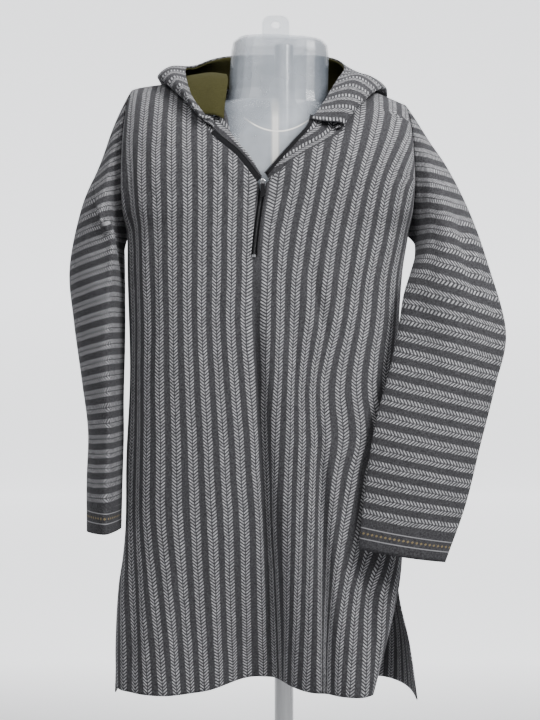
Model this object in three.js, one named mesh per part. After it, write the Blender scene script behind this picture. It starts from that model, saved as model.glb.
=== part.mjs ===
// A hooded wool pheran with a short front zip, worn by a limbless dress form on a pole and base.
// Millimetres, +Z up, the garment's front faces -Y. Right and left are the wearer's own sides.
import * as THREE from 'three';
import { mergeVertices, mergeGeometries } from 'three/addons/utils/BufferGeometryUtils.js';

// ---- driving dimensions ----
const CLOTH = 2.0;            // tweed wall
const FLEECE = 1.6;           // hood lining wall
const SEAM = 0.3;             // gap between neighbouring pieces
const BOX_POWER = 3;          // squareness of the garment's level sections
const CHEST_Z = 1245;         // above this level the panels round over to the shoulder ridge
const RIDGE_Y = 5;            // the shoulder ridge, where front and back meet
const UNDERARM_Z = 1175;
const FRONT_HEM_Z = 437;
const BACK_HEM_Z = 413;
const ZIP_END_Z = 1127;       // bottom of the zip's window
const ZIP_WINDOW = 9;         // width of the window
const WINDOW_STEP = 1.2;      // its bottom is squared off within this height
const BACK_OPEN = 0.63;       // how far up the shoulder rounding the back's neckline begins
const HALF_COLUMNS = 13;      // grid steps from a side edge to the middle
const FINE = 72;              // steps of the line that they are spaced along
const SHOULDER_ROWS = 8;
const SHOULDER_DEEP = 126;    // half the depth that the hood's fold lies on
const SLIT_Z = 598;           // top of the side slits
const SKIRT_ROWS = 4;
const BODY_ROWS = 10;

// Side edges of both panels: arm is half the armhole's opening at that level.
const SIDES = [
  { z: SLIT_Z, right: -273, rightY: -12, left: 185, leftY: -60, arm: 0 },
  { z: 640, right: -267, rightY: -8, left: 191, leftY: -48, arm: 0 },
  { z: 690, right: -263, rightY: -4, left: 193, leftY: -38, arm: 0 },
  { z: 800, right: -262, rightY: 0, left: 189, leftY: -20, arm: 0 },
  { z: 940, right: -256, rightY: 0, left: 188, leftY: -8, arm: 0 },
  { z: 1110, right: -260, rightY: 0, left: 196, leftY: 0, arm: 0 },
  { z: UNDERARM_Z, right: -261, rightY: 0, left: 206, leftY: 0, arm: 0 },
  { z: 1205, right: -264, rightY: 0, left: 209, leftY: 0, arm: 40 },
  { z: CHEST_Z, right: -266, rightY: 0, left: 212, leftY: 0, arm: 58 },
];
// Below the top of the side slits each panel has its own edges.
const FRONT_EDGES = [
  { z: FRONT_HEM_Z, right: -275, rightY: -40, left: 140, leftY: -112, arm: 0 },
  { z: 500, right: -277, rightY: -27, left: 159, leftY: -92, arm: 0 },
  ...SIDES,
];
const BACK_EDGES = [
  { z: BACK_HEM_Z, right: -281, rightY: -22, left: 216, leftY: -66, arm: 0 },
  { z: 500, right: -279, rightY: -18, left: 204, leftY: -64, arm: 0 },
  ...SIDES,
];
// How far the flat of each panel stands in front of or behind the ridge.
const FLATS = [
  { z: BACK_HEM_Z, front: -149, back: 128 },
  { z: 700, front: -138, back: 128 },
  { z: 1000, front: -129, back: 127 },
  { z: CHEST_Z, front: -125, back: 125 },
];
// The front's middle line: the zip, then the deep valley below it.
const MIDDLE = [
  { z: BACK_HEM_Z, front: -18, back: -30 },
  { z: 600, front: -22, back: -28 },
  { z: 800, front: -33, back: -25 },
  { z: 1000, front: -46, back: -20 },
  { z: ZIP_END_Z, front: -49, back: -16 },
  { z: CHEST_Z, front: -35, back: -12 },
];
const SHOULDER_TIP = { right: -248, left: 197 };
const RIDGE = [
  { x: -270, z: 1417 }, { x: -248, z: 1422 }, { x: -180, z: 1431 }, { x: -115, z: 1440 },
  { x: 0, z: 1442 }, { x: 98, z: 1434 }, { x: 150, z: 1416 }, { x: 197, z: 1397 }, { x: 215, z: 1391 },
];
// The neckline's x on each side by level: the front V, and the back's shallow curve.
const FRONT_NECK = [
  { z: CHEST_Z, right: -42, left: -30 }, { z: 1291, right: -78, left: 24 },
  { z: 1328, right: -119, left: 88 }, { z: 1360, right: -122, left: 97 },
  { z: 1400, right: -121, left: 101 }, { z: 1440, right: -118, left: 102 },
];
const BACK_NECK = [
  { z: 1400, right: -14, left: -10 }, { z: 1406, right: -60, left: 44 },
  { z: 1418, right: -96, left: 80 }, { z: 1440, right: -118, left: 102 },
];
// Lengthwise folds: a row for each level, deep is how far the trough goes in (or out, if negative).
const FRONT_FOLDS = [
  [{ z: 430, x: -44, deep: 84, wide: 82 }, { z: 560, x: -46, deep: 50, wide: 72 },
    { z: 700, x: -44, deep: 24, wide: 56 }, { z: 880, x: -46, deep: 8, wide: 40 },
    { z: 1020, x: -48, deep: 0, wide: 30 }],
  [{ z: 430, x: -12, deep: 16, wide: 17 }, { z: 560, x: -18, deep: 20, wide: 16 },
    { z: 800, x: -32, deep: 15, wide: 12 }, { z: 1000, x: -45, deep: 9, wide: 9 },
    { z: 1110, x: -51, deep: 0, wide: 8 }],
  [{ z: 430, x: 66, deep: 12, wide: 20 }, { z: 700, x: 58, deep: 9, wide: 18 },
    { z: 900, x: 46, deep: 0, wide: 18 }],
  [{ z: 430, x: -150, deep: 10, wide: 24 }, { z: 620, x: -146, deep: 6, wide: 24 },
    { z: 900, x: -140, deep: 0, wide: 24 }],
  [{ z: 430, x: 118, deep: -8, wide: 20 }, { z: 560, x: 128, deep: 10, wide: 16 },
    { z: 760, x: 120, deep: 0, wide: 16 }],
];
const BACK_FOLDS = [
  [{ z: 405, x: -128, deep: 96, wide: 42 }, { z: 600, x: -122, deep: 44, wide: 40 },
    { z: 850, x: -112, deep: 12, wide: 34 }, { z: 1050, x: -104, deep: 0, wide: 30 }],
  [{ z: 405, x: 20, deep: 34, wide: 34 }, { z: 700, x: 14, deep: 16, wide: 30 },
    { z: 1000, x: 6, deep: 0, wide: 28 }],
  [{ z: 405, x: 128, deep: 42, wide: 30 }, { z: 700, x: 116, deep: 18, wide: 28 },
    { z: 980, x: 104, deep: 0, wide: 26 }],
];
const FOLD_FADE = 0.75;       // folds die away towards the side edges
const HEM_LIFT = { x: -48, up: 14, wide: 60, fade: 160 };   // the front hem hitches up in the valley
const ARM_SPLIT = 0.32;       // the share of an armhole's length that lies below the chest level

// Sleeves: a row for each ring. o is the outer or top point, i the inner or underarm point.
const SLEEVE_RIGHT = [
  { s: 0, ox: -248, oz: 1422, ix: -262, iz: 1175, y: RIDGE_Y, deep: 62 },
  { s: 0.1, ox: -287, oz: 1350, ix: -270, iz: 1140, y: 2, deep: 76 },
  { s: 0.2, ox: -309, oz: 1291, ix: -269, iz: 1105, y: -4, deep: 88 },
  { s: 0.32, ox: -337, oz: 1222, ix: -268, iz: 1070, y: -10, deep: 94 },
  { s: 0.45, ox: -357, oz: 1120, ix: -267, iz: 1030, y: -14, deep: 95 },
  { s: 0.58, ox: -349, oz: 1030, ix: -267, iz: 975, y: -20, deep: 92 },
  { s: 0.7, ox: -334, oz: 930, ix: -268, iz: 900, y: -28, deep: 88 },
  { s: 0.8, ox: -323, oz: 850, ix: -267, iz: 835, y: -36, deep: 80 },
  { s: 0.9, ox: -324, oz: 768, ix: -268, iz: 762, y: -44, deep: 72 },
  { s: 1, ox: -323, oz: 687, ix: -269, iz: 690, y: -50, deep: 66 },
];
const SLEEVE_LEFT = [
  { s: 0, ox: 197, oz: 1397, ix: 206, iz: 1175, y: RIDGE_Y, deep: 60 },
  { s: 0.1, ox: 235, oz: 1338, ix: 218, iz: 1158, y: -16, deep: 62 },
  { s: 0.2, ox: 266, oz: 1285, ix: 216, iz: 1136, y: -42, deep: 56 },
  { s: 0.32, ox: 298, oz: 1206, ix: 204, iz: 1106, y: -78, deep: 44 },
  { s: 0.45, ox: 325, oz: 1118, ix: 190, iz: 1066, y: -100, deep: 38 },
  { s: 0.56, ox: 351, oz: 1012, ix: 182, iz: 1020, y: -110, deep: 36 },
  { s: 0.68, ox: 332, oz: 924, ix: 166, iz: 948, y: -120, deep: 33 },
  { s: 0.8, ox: 306, oz: 830, ix: 142, iz: 862, y: -132, deep: 29 },
  { s: 0.9, ox: 282, oz: 740, ix: 127, iz: 770, y: -141, deep: 24 },
  { s: 1, ox: 249, oz: 651, ix: 115, iz: 671, y: -148, deep: 18 },
];
const SLEEVE_SIDES = 20;
const SLEEVE_ROWS = 18;
const SLEEVE_START = 2.6;     // the sleeve head stands this far out from the armhole edge
const SLEEVE_SETTLE = 0.16;   // the share of its length over which it leaves the armhole's shape
const CREASE = 0.45;          // how much a flattened sleeve narrows to its two creases

// Hood ribs, front to centre back. neck and fold are set on the shoulders by x, turn (degrees from
// the ridge, front negative) and lift. crest and rim are points.
const HOOD_RIGHT = [
  { nx: -113, nt: -63, fx: -133, ft: -59, fl: 13, kx: -131, ky: -119, kz: 1349, rx: -121, ry: -119, rz: 1347 },
  { nx: -114, nt: -50, fx: -162, ft: -47, fl: 16, kx: -161, ky: -103, kz: 1395, rx: -150, ry: -86, rz: 1392 },
  { nx: -101, nt: -28, fx: -206, ft: -20, fl: 15, kx: -188, ky: -42, kz: 1447, rx: -163, ry: -34, rz: 1448 },
  { nx: -112, nt: -2, fx: -209, ft: 14, fl: 13, kx: -182, ky: 24, kz: 1463, rx: -150, ry: 14, rz: 1464 },
  { nx: -106, nt: 11, fx: -180, ft: 56, fl: 22, kx: -152, ky: 92, kz: 1466, rx: -126, ry: 58, rz: 1486 },
  { nx: -84, nt: 25, fx: -114, ft: 86, fl: 32, kx: -110, ky: 132, kz: 1462, rx: -96, ry: 92, rz: 1501 },
  { nx: -48, nt: 29, fx: -56, ft: 100, fl: 38, kx: -54, ky: 152, kz: 1458, rx: -48, ry: 108, rz: 1507 },
  { nx: -12.5, nt: 30, fx: -12.5, ft: 104, fl: 40, kx: -12.5, ky: 156, kz: 1456, rx: -12.5, ry: 112, rz: 1508 },
];
const HOOD_LEFT = [
  { nx: 78, nt: -64, fx: 93, ft: -62, fl: 11, kx: 66, ky: -119, kz: 1344, rx: 42, ry: -113, rz: 1349 },
  { nx: 93, nt: -53, fx: 115, ft: -51, fl: 13, kx: 88, ky: -108, kz: 1374, rx: 57, ry: -97, rz: 1371 },
  { nx: 97, nt: -34, fx: 149, ft: -30, fl: 14, kx: 118, ky: -66, kz: 1428, rx: 84, ry: -63, rz: 1420 },
  { nx: 97, nt: -6, fx: 174, ft: 0, fl: 12, kx: 142, ky: 2, kz: 1444, rx: 101, ry: -8, rz: 1455 },
  { nx: 90, nt: 11, fx: 162, ft: 50, fl: 21, kx: 126, ky: 82, kz: 1452, rx: 94, ry: 50, rz: 1483 },
  { nx: 64, nt: 25, fx: 94, ft: 85, fl: 31, kx: 84, ky: 128, kz: 1460, rx: 68, ry: 88, rz: 1500 },
  { nx: 26, nt: 29, fx: 32, ft: 100, fl: 38, kx: 30, ky: 151, kz: 1458, rx: 24, ry: 107, rz: 1507 },
  { nx: -11, nt: 30, fx: -11, ft: 104, fl: 40, kx: -11, ky: 156, kz: 1456, rx: -11, ry: 112, rz: 1508 },
];
const NECK_LIFT = 2.5;        // the hood starts this far above the neckline's edge
const UNDER_LIFT = 7;         // and lies this far above the shoulder
const UNDER_AT = [0.22, 0.48, 0.75];   // the shares of its width where that layer is set
const OVER_PUFF = 4;          // how much the upper layer puffs up just past the fold
const OVER_AT = 0.25;         // and where, on the way to the crest
const LINING_EASE = 1.2;      // the lining hangs this much looser inside the hood
const LINING_FROM = { right: 5, left: 1 };   // the rib where each lining begins
const HOOD_RIBS = 15;
const HOOD_STEPS = 18;

// Strips along the V: s is the seam, e the V edge.
const BAND_RIGHT = [
  { sx: -41.5, sz: 1257, ex: -36.5, ez: 1257, ey: -123 }, { sx: -65, sz: 1287, ex: -54, ez: 1288, ey: -117 },
  { sx: -90, sz: 1313, ex: -77, ez: 1315, ey: -112 }, { sx: -101, sz: 1334, ex: -92, ez: 1336, ey: -107 },
];
const BAND_LEFT = [
  { sx: -25, sz: 1258, ex: -31, ez: 1261, ey: -125 }, { sx: 3, sz: 1281, ex: -10, ez: 1286, ey: -123 },
  { sx: 34, sz: 1303.5, ex: 12, ez: 1311, ey: -119 }, { sx: 72, sz: 1329, ex: 37, ez: 1340, ey: -113 },
];
const BAND_STEPS = 8;
const TAPE = 1.0;             // zip tape wall
const TAPE_REACH = 11;        // from the zip's middle to the tape's outer edge
const TAPE_INNER = 1.2;       // and to its inner edge
const TAPE_STEP = 14;
const TAPE_DROP = 8;          // it goes on this far below the window
const TAPE_UP = [
  { ox: -52, ix: -44.5, z: 1251 }, { ox: -79, ix: -69, z: 1285 }, { ox: -106, ix: -96, z: 1315 },
];
const CHAIN = { wide: 3.6, thick: 2.2, steps: 8 };
const SLIDER = { x: -35, y: -129.2, z: 1246, wide: 9, high: 12, thick: 5 };
const STOP = { x: -49, y: -129.2, z: 1130, wide: 6.4, high: 4, thick: 3 };
const PULL = { wide: 6.5, high: 21, thick: 1.6, z: 1243 };   // z is its hinge's

// Dress form: level sections of its outer skin, and the stand.
const FORM = [
  { z: 880, x: -20, half: 142, deep: 88 }, { z: 960, x: -21, half: 150, deep: 92 },
  { z: 1080, x: -22, half: 160, deep: 97 }, { z: 1190, x: -22, half: 169, deep: 98 },
  { z: 1270, x: -22, half: 175, deep: 92 }, { z: 1330, x: -22, half: 176, deep: 78 },
  { z: 1362, x: -22, half: 168, deep: 66 }, { z: 1378, x: -20, half: 146, deep: 60 },
  { z: 1387, x: -16, half: 112, deep: 58 }, { z: 1394, x: -11, half: 88, deep: 57 },
  { z: 1412, x: -10, half: 83.5, deep: 56 }, { z: 1480, x: -10, half: 82.5, deep: 55 },
  { z: 1494, x: -10, half: 80, deep: 53 }, { z: 1502, x: -10, half: 72, deep: 46 },
  { z: 1505, x: -10, half: 54, deep: 32 },
];
const FORM_WALL = 3;
const FORM_SIDES = 28;
const FORM_POWER = 2.7;
const FORM_ROLL = THREE.MathUtils.degToRad(2.2);   // the form sits a little lower on the left
const FORM_PIVOT = new THREE.Vector3(-10, 0, 1400);
const LUG = { x: -14, z: 1507, wide: 46, high: 38, thick: 8, hole: 7, holeZ: 23, round: 14 };
const POLE = { radius: 16, top: 1496, edge: 2, sides: 28 };
const COLLAR = { radius: 30, high: 46, edge: 4, z: 14.3 };
const BASE = { radius: 185, high: 14, edge: 4, sides: 56 };

// ---- small helpers ----
const rad = THREE.MathUtils.degToRad;
const mix = THREE.MathUtils.lerp;
const ease = THREE.MathUtils.smoothstep;

// Reads a column of a table at a value of its key, on a smooth curve through the rows.
function read(rows, key, column, value) {
  const last = rows.length - 1;
  if (value <= rows[0][key]) return rows[0][column];
  if (value >= rows[last][key]) return rows[last][column];
  let i = 0;
  while (rows[i + 1][key] < value) i += 1;
  const slope = (a, b) => (rows[b][column] - rows[a][column]) / (rows[b][key] - rows[a][key]);
  const span = rows[i + 1][key] - rows[i][key];
  const here = slope(i, i + 1);
  const start = i > 0 ? (slope(i - 1, i) + here) / 2 : here;
  const end = i + 1 < last ? (slope(i + 1, i + 2) + here) / 2 : here;
  const t = (value - rows[i][key]) / span;
  const t2 = t * t;
  const t3 = t2 * t;
  return rows[i][column] * (2 * t3 - 3 * t2 + 1) + rows[i + 1][column] * (3 * t2 - 2 * t3)
    + span * (start * (t3 - 2 * t2 + t) + end * (t3 - t2));
}

// Spaces count + 1 points evenly along a line of points.
function respace(points, count) {
  const run = [0];
  for (let i = 1; i < points.length; i += 1) run.push(run[i - 1] + points[i].distanceTo(points[i - 1]));
  const out = [];
  let i = 0;
  for (let k = 0; k <= count; k += 1) {
    const goal = (run[run.length - 1] * k) / count;
    while (i < points.length - 2 && run[i + 1] < goal) i += 1;
    const t = (goal - run[i]) / (run[i + 1] - run[i]);
    out.push(points[i].clone().lerp(points[i + 1], THREE.MathUtils.clamp(t, 0, 1)));
  }
  return out;
}

// Joins rows of points into a skin; wrap closes each row into a ring.
function skin(rows, wrap = false) {
  const points = rows.flat();
  const across = rows[0].length;
  const faces = [];
  for (let j = 0; j + 1 < rows.length; j += 1) {
    for (let i = 0; i < (wrap ? across : across - 1); i += 1) {
      const n = (i + 1) % across;
      const [a, b, c, d] = [j * across + i, j * across + n, (j + 1) * across + n, (j + 1) * across + i];
      faces.push([a, b, c], [a, c, d]);
    }
  }
  return { points, faces };
}

function geometryOf({ points, faces }) {
  const geometry = new THREE.BufferGeometry().setFromPoints(points);
  geometry.setIndex(faces.flat());
  return geometry;
}

// Merges skins that share edge points, and leaves out faces that have no area.
function weld(...skins) {
  const merged = mergeVertices(mergeGeometries(skins.map(geometryOf)), 1e-3);
  const place = merged.getAttribute('position');
  const pointAt = (_, i) => new THREE.Vector3().fromBufferAttribute(place, i);
  const points = Array.from({ length: place.count }, pointAt);
  const index = Array.from(merged.index.array);
  const faces = [];
  for (let i = 0; i < index.length; i += 3) {
    const face = index.slice(i, i + 3);
    if (new Set(face).size === 3) faces.push(face);
  }
  return { points, faces };
}

// Normals of a skin at its points.
function normalsOf({ points, faces }) {
  const normals = points.map(() => new THREE.Vector3());
  for (const [a, b, c] of faces) {
    const normal = points[b].clone().sub(points[a]).cross(points[c].clone().sub(points[a]));
    for (const i of [a, b, c]) normals[i].add(normal);
  }
  return normals.map((normal) => normal.normalize());
}

// Gives a skin its wall: half the thickness each side of it, shifted out by aside. Where square says
// so, the wall's edge stays in a plane across Y.
function thicken(sheet, thickness, aside = 0, square = () => false) {
  const normals = normalsOf(sheet);
  sheet.points.forEach((point, i) => { if (square(point)) normals[i].setY(0).normalize(); });
  const count = sheet.points.length;
  const shifted = (by) => sheet.points.map((point, i) => point.clone().addScaledVector(normals[i], by));
  const points = [...shifted(aside + thickness / 2), ...shifted(aside - thickness / 2)];
  const faces = [];
  const edges = new Map();
  for (const [a, b, c] of sheet.faces) {
    faces.push([a, b, c], [a + count, c + count, b + count]);
    for (const [from, to] of [[a, b], [b, c], [c, a]]) {
      const back = `${to}_${from}`;
      if (edges.has(back)) edges.delete(back);
      else edges.set(`${from}_${to}`, [from, to]);
    }
  }
  for (const [from, to] of edges.values()) {
    faces.push([to, from, from + count], [to, from + count, to + count]);
  }
  return geometryOf({ points, faces });
}

// ---- garment body ----
function foldsAt(folds, x, z) {
  let deep = 0;
  for (const rows of folds) {
    const top = rows[rows.length - 1].z;
    if (z >= top) continue;
    const t = (x - read(rows, 'z', 'x', z)) / read(rows, 'z', 'wide', z);
    deep += read(rows, 'z', 'deep', z) * Math.exp(-t * t);
  }
  return deep;
}

// A point of the front or back panel at a level (or at w, 0 to 1, up the shoulder), t from side to middle.
function panelPoint(panel, side, level, w, t) {
  const sign = panel === 'front' ? -1 : 1;
  const edges = panel === 'front' ? FRONT_EDGES : BACK_EDGES;
  const edgeX = mix(read(edges, 'z', side, level), SHOULDER_TIP[side], w * w);
  const arm = Math.max(0, read(edges, 'z', 'arm', level));
  const edgeY = read(edges, 'z', `${side}Y`, level) + sign * arm;
  const middleX = read(MIDDLE, 'z', panel, level);
  const flat = read(FLATS, 'z', panel, level);
  const turn = (t * Math.PI) / 2;
  const x = middleX + (edgeX - middleX) * Math.cos(turn) ** (2 / BOX_POWER);
  const y = edgeY + (flat - edgeY) * Math.sin(turn) ** (2 / BOX_POWER);
  if (w > 0) {
    const up = (w * Math.PI) / 2;
    const topZ = read(RIDGE, 'x', 'z', x);
    return new THREE.Vector3(x, RIDGE_Y + sign * SEAM / 2 + (y - RIDGE_Y) * Math.cos(up),
      CHEST_Z + (topZ - CHEST_Z) * Math.sin(up));
  }
  const folds = panel === 'front' ? FRONT_FOLDS : BACK_FOLDS;
  const near = ease(Math.sin(turn), 0, FOLD_FADE);
  const shifted = y - sign * foldsAt(folds, x, level) * near;
  const lift = panel === 'front' ? frontHemLift(x, level) : 0;
  return new THREE.Vector3(x, shifted + sign * SEAM / 2, level + lift);
}

function frontHemLift(x, z) {
  const t = (x - HEM_LIFT.x) / HEM_LIFT.wide;
  return HEM_LIFT.up * Math.exp(-t * t) * (1 - ease(z, FRONT_HEM_Z, FRONT_HEM_Z + HEM_LIFT.fade));
}

// Where a panel's half row ends: on the middle, at the zip's window or at the neckline.
function rowLimit(panel, side, point, level, open) {
  const outward = side === 'right' ? -1 : 1;
  const middle = read(MIDDLE, 'z', panel, level);
  if (!open) return middle;
  if (panel === 'front' && point.z < CHEST_Z) return middle + outward * ZIP_WINDOW / 2;
  const rows = panel === 'front' ? FRONT_NECK : BACK_NECK;
  return read(rows, 'z', side, point.z);
}

function halfRow(panel, side, level, w, open, columns) {
  const outward = side === 'right' ? -1 : 1;
  const line = [];
  for (let k = 0; k <= FINE; k += 1) {
    const point = panelPoint(panel, side, level, w, k / FINE);
    const limit = rowLimit(panel, side, point, level, open);
    if ((point.x - limit) * outward >= 0) {
      line.push(point);
      continue;
    }
    const last = line[line.length - 1];
    line.push(last.clone().lerp(point, (limit - last.x) / (point.x - last.x)));
    break;
  }
  return respace(line, columns);
}

// Levels of a panel's rows: its own below the slits' tops, shared above them.
function levelsOf(hem, extra) {
  const skirt = Array.from({ length: SKIRT_ROWS }, (_, k) => mix(hem, SLIT_Z, k / SKIRT_ROWS));
  const body = Array.from({ length: BODY_ROWS + 1 }, (_, k) => mix(SLIT_Z, CHEST_Z, k / BODY_ROWS));
  return [...skirt, ...body, ...extra].sort((a, b) => a - b);
}

// Points on the side seams and the shoulder ridge, where the panels meet edge to edge.
function onSeam({ x, y, z }) {
  const middleX = -25;
  const near = (level) => Math.abs(y - level) < SEAM;
  if (z > CHEST_Z) return near(RIDGE_Y);
  return z > SLIT_Z - 1 && z < UNDERARM_Z + 1 && near(read(SIDES, 'z', x < middleX ? 'rightY' : 'leftY', z));
}

// A panel's stations from hem to ridge: those after lastClosed are open in the middle.
function panelSkin(panel, stations, lastClosed) {
  const halves = [];
  for (const side of ['right', 'left']) {
    const row = ({ level, w }, open) => halfRow(panel, side, level, w, open, HALF_COLUMNS);
    const low = stations.slice(0, lastClosed + 1).map((station) => row(station, false));
    const high = stations.slice(lastClosed + 1).map((station) => row(station, true));
    high.unshift(row(stations[lastClosed], false));
    for (const rows of [low, high]) {
      const flip = (side === 'left') === (panel === 'front');
      halves.push(skin(flip ? rows.map((points) => [...points].reverse()) : rows));
    }
  }
  return weld(...halves);
}

function stationsOf(hem, extra) {
  const levels = levelsOf(hem, extra).map((level) => ({ level, w: 0 }));
  const up = (k) => ({ level: CHEST_Z, w: (k + 1) / SHOULDER_ROWS });
  return [...levels, ...Array.from({ length: SHOULDER_ROWS }, (_, k) => up(k))];
}

// ---- sleeves ----
// Armhole edge from the underarm (q 0) to the shoulder tip (q 1).
function armholePoint(panel, side, q) {
  if (q < ARM_SPLIT) return panelPoint(panel, side, mix(UNDERARM_Z, CHEST_Z, q / ARM_SPLIT), 0, 0);
  return panelPoint(panel, side, CHEST_Z, (q - ARM_SPLIT) / (1 - ARM_SPLIT), 0);
}

function sleeveRing(rows, s, count) {
  const value = (column) => read(rows, 's', column, s);
  const outer = new THREE.Vector3(value('ox'), value('y'), value('oz'));
  const inner = new THREE.Vector3(value('ix'), value('y'), value('iz'));
  const centre = outer.clone().add(inner).multiplyScalar(0.5);
  const half = outer.clone().sub(centre);
  const flatAcross = half.length() > value('deep');
  const ring = [];
  for (let k = 0; k < count; k += 1) {
    const angle = (k / count) * Math.PI * 2;
    const c = Math.cos(angle);
    const n = Math.sin(angle);
    const wide = flatAcross ? c : c * (1 - CREASE * n * n);
    const deep = flatAcross ? n * (1 - CREASE * c * c) : n;
    ring.push(centre.clone().addScaledVector(half, wide).add(new THREE.Vector3(0, -value('deep') * deep, 0)));
  }
  return ring;
}

function sleeveSkin(rows, side, count, rings) {
  const outward = side === 'right' ? -1 : 1;
  const first = sleeveRing(rows, 0, count);
  const shift = first.map((point, k) => {
    const turn = k / count;
    const [panel, q] = turn <= 0.5 ? ['front', 1 - 2 * turn] : ['back', 2 * turn - 1];
    const edge = armholePoint(panel, side, q);
    edge.x += outward * SLEEVE_START;
    return edge.sub(point);
  });
  const grid = [];
  for (let j = 0; j <= rings; j += 1) {
    const s = j / rings;
    const fade = 1 - ease(s, 0, SLEEVE_SETTLE);
    grid.push(sleeveRing(rows, s, count).map((point, k) => point.addScaledVector(shift[k], fade)));
  }
  return skin(side === 'left' ? grid : grid.map((row) => [...row].reverse()), true);
}

// ---- hood ----
// A point over the shoulders: x, turn in degrees from the ridge, lift outward.
function overShoulder(x, turn, lift) {
  const ridgeZ = read(RIDGE, 'x', 'z', x);
  const a = rad(THREE.MathUtils.clamp(turn, -90, 90));
  const sink = Math.max(Math.abs(turn) - 90, 0) * 2;
  const deep = SHOULDER_DEEP + lift;
  const high = ridgeZ + lift - CHEST_Z;
  return new THREE.Vector3(x, RIDGE_Y + deep * Math.sin(a), CHEST_Z + high * Math.cos(a) - sink);
}

function hoodKeys(row) {
  const neck = overShoulder(row.nx, row.nt, NECK_LIFT);
  const under = UNDER_AT.map((t) => overShoulder(mix(row.nx, row.fx, t), mix(row.nt, row.ft, t), UNDER_LIFT));
  const fold = overShoulder(row.fx, row.ft, row.fl);
  const crest = new THREE.Vector3(row.kx, row.ky, row.kz);
  const rim = new THREE.Vector3(row.rx, row.ry, row.rz);
  const outward = overShoulder(row.fx, row.ft, row.fl + OVER_PUFF).sub(fold);
  const over = fold.clone().lerp(crest, OVER_AT).add(outward);
  return [neck, ...under, fold, over, crest, rim];
}

function hoodSkin(keys, side, from) {
  const railAt = (_, k) => new THREE.CatmullRomCurve3(keys.map((rib) => rib[k]), false, 'centripetal');
  const rails = keys[0].map(railAt);
  const grid = [];
  for (let j = from; j <= HOOD_RIBS; j += 1) {
    const points = rails.map((rail) => rail.getPoint(j / HOOD_RIBS));
    const rib = new THREE.CatmullRomCurve3(points, false, 'centripetal');
    grid.push(rib.getSpacedPoints(HOOD_STEPS));
  }
  return skin(side === 'right' ? grid : grid.map((row) => [...row].reverse()));
}

// ---- strips and zip ----
function frontSurfaceY(x, z) {
  const topZ = read(RIDGE, 'x', 'z', x);
  const up = Math.asin(THREE.MathUtils.clamp((z - CHEST_Z) / (topZ - CHEST_Z), 0, 1));
  const flat = read(FLATS, 'z', 'front', z);
  return RIDGE_Y + (flat - RIDGE_Y) * Math.cos(up);
}

function bandSkin(rows, side) {
  const onBody = (x, z) => new THREE.Vector3(x, frontSurfaceY(x, z), z);
  const seam = new THREE.CatmullRomCurve3(rows.map(({ sx, sz }) => onBody(sx, sz)));
  const edge = new THREE.CatmullRomCurve3(rows.map(({ ex, ey, ez }) => new THREE.Vector3(ex, ey, ez)));
  const grid = [];
  for (let j = 0; j <= BAND_STEPS; j += 1) {
    const a = seam.getPoint(j / BAND_STEPS);
    const b = edge.getPoint(j / BAND_STEPS);
    grid.push([0, 0.5, 1].map((t) => a.clone().lerp(b, t)));
  }
  return skin(side === 'right' ? grid : grid.map((row) => [...row].reverse()));
}

function tapeRow(side, z) {
  const outward = side === 'right' ? -1 : 1;
  const middle = read(MIDDLE, 'z', 'front', z);
  const behind = (CLOTH + TAPE) / 2 + SEAM;
  return [TAPE_REACH, TAPE_INNER].map((reach) => {
    const x = middle + outward * reach;
    return new THREE.Vector3(x, read(FLATS, 'z', 'front', z) + foldsAt(FRONT_FOLDS, x, z) + behind, z);
  });
}

// Each tape lies behind the window's edge; the right one goes on up the V, beside its strip.
function tapeSkin(side) {
  const rows = [];
  for (let z = ZIP_END_Z - TAPE_DROP; z < CHEST_Z - CLOTH; z += TAPE_STEP) rows.push(tapeRow(side, z));
  if (side === 'right') {
    const behind = CLOTH + TAPE_INNER;
    for (const { ox, ix, z } of TAPE_UP) {
      rows.push([ox, ix].map((x) => new THREE.Vector3(x, frontSurfaceY(x, z) + behind, z)));
    }
  }
  return skin(side === 'right' ? rows : rows.map((row) => [...row].reverse()));
}

function chainSkin() {
  const rows = [];
  const half = CHAIN.wide / 2;
  const low = STOP.z + STOP.high / 2 + SEAM;
  const high = SLIDER.z - SLIDER.high / 2 - SEAM;
  for (let k = 0; k <= CHAIN.steps; k += 1) {
    const z = mix(low, high, k / CHAIN.steps);
    const x = read(MIDDLE, 'z', 'front', z);
    const y = read(FLATS, 'z', 'front', z);
    rows.push([-half, half].map((aside) => new THREE.Vector3(x + aside, y, z)));
  }
  return skin(rows);
}

function roundedPlate(wide, high, thick, radius) {
  const shape = new THREE.Shape();
  const [w, h] = [wide / 2, high / 2];
  shape.moveTo(-w + radius, -h);
  shape.lineTo(w - radius, -h).absarc(w - radius, -h + radius, radius, -Math.PI / 2, 0);
  shape.lineTo(w, h - radius).absarc(w - radius, h - radius, radius, 0, Math.PI / 2);
  shape.lineTo(-w + radius, h).absarc(-w + radius, h - radius, radius, Math.PI / 2, Math.PI);
  shape.lineTo(-w, -h + radius).absarc(-w + radius, -h + radius, radius, Math.PI, 1.5 * Math.PI);
  const plate = new THREE.ExtrudeGeometry(shape, { depth: thick, bevelEnabled: false, curveSegments: 5 });
  return plate.translate(0, 0, -thick / 2).rotateX(Math.PI / 2);
}

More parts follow.
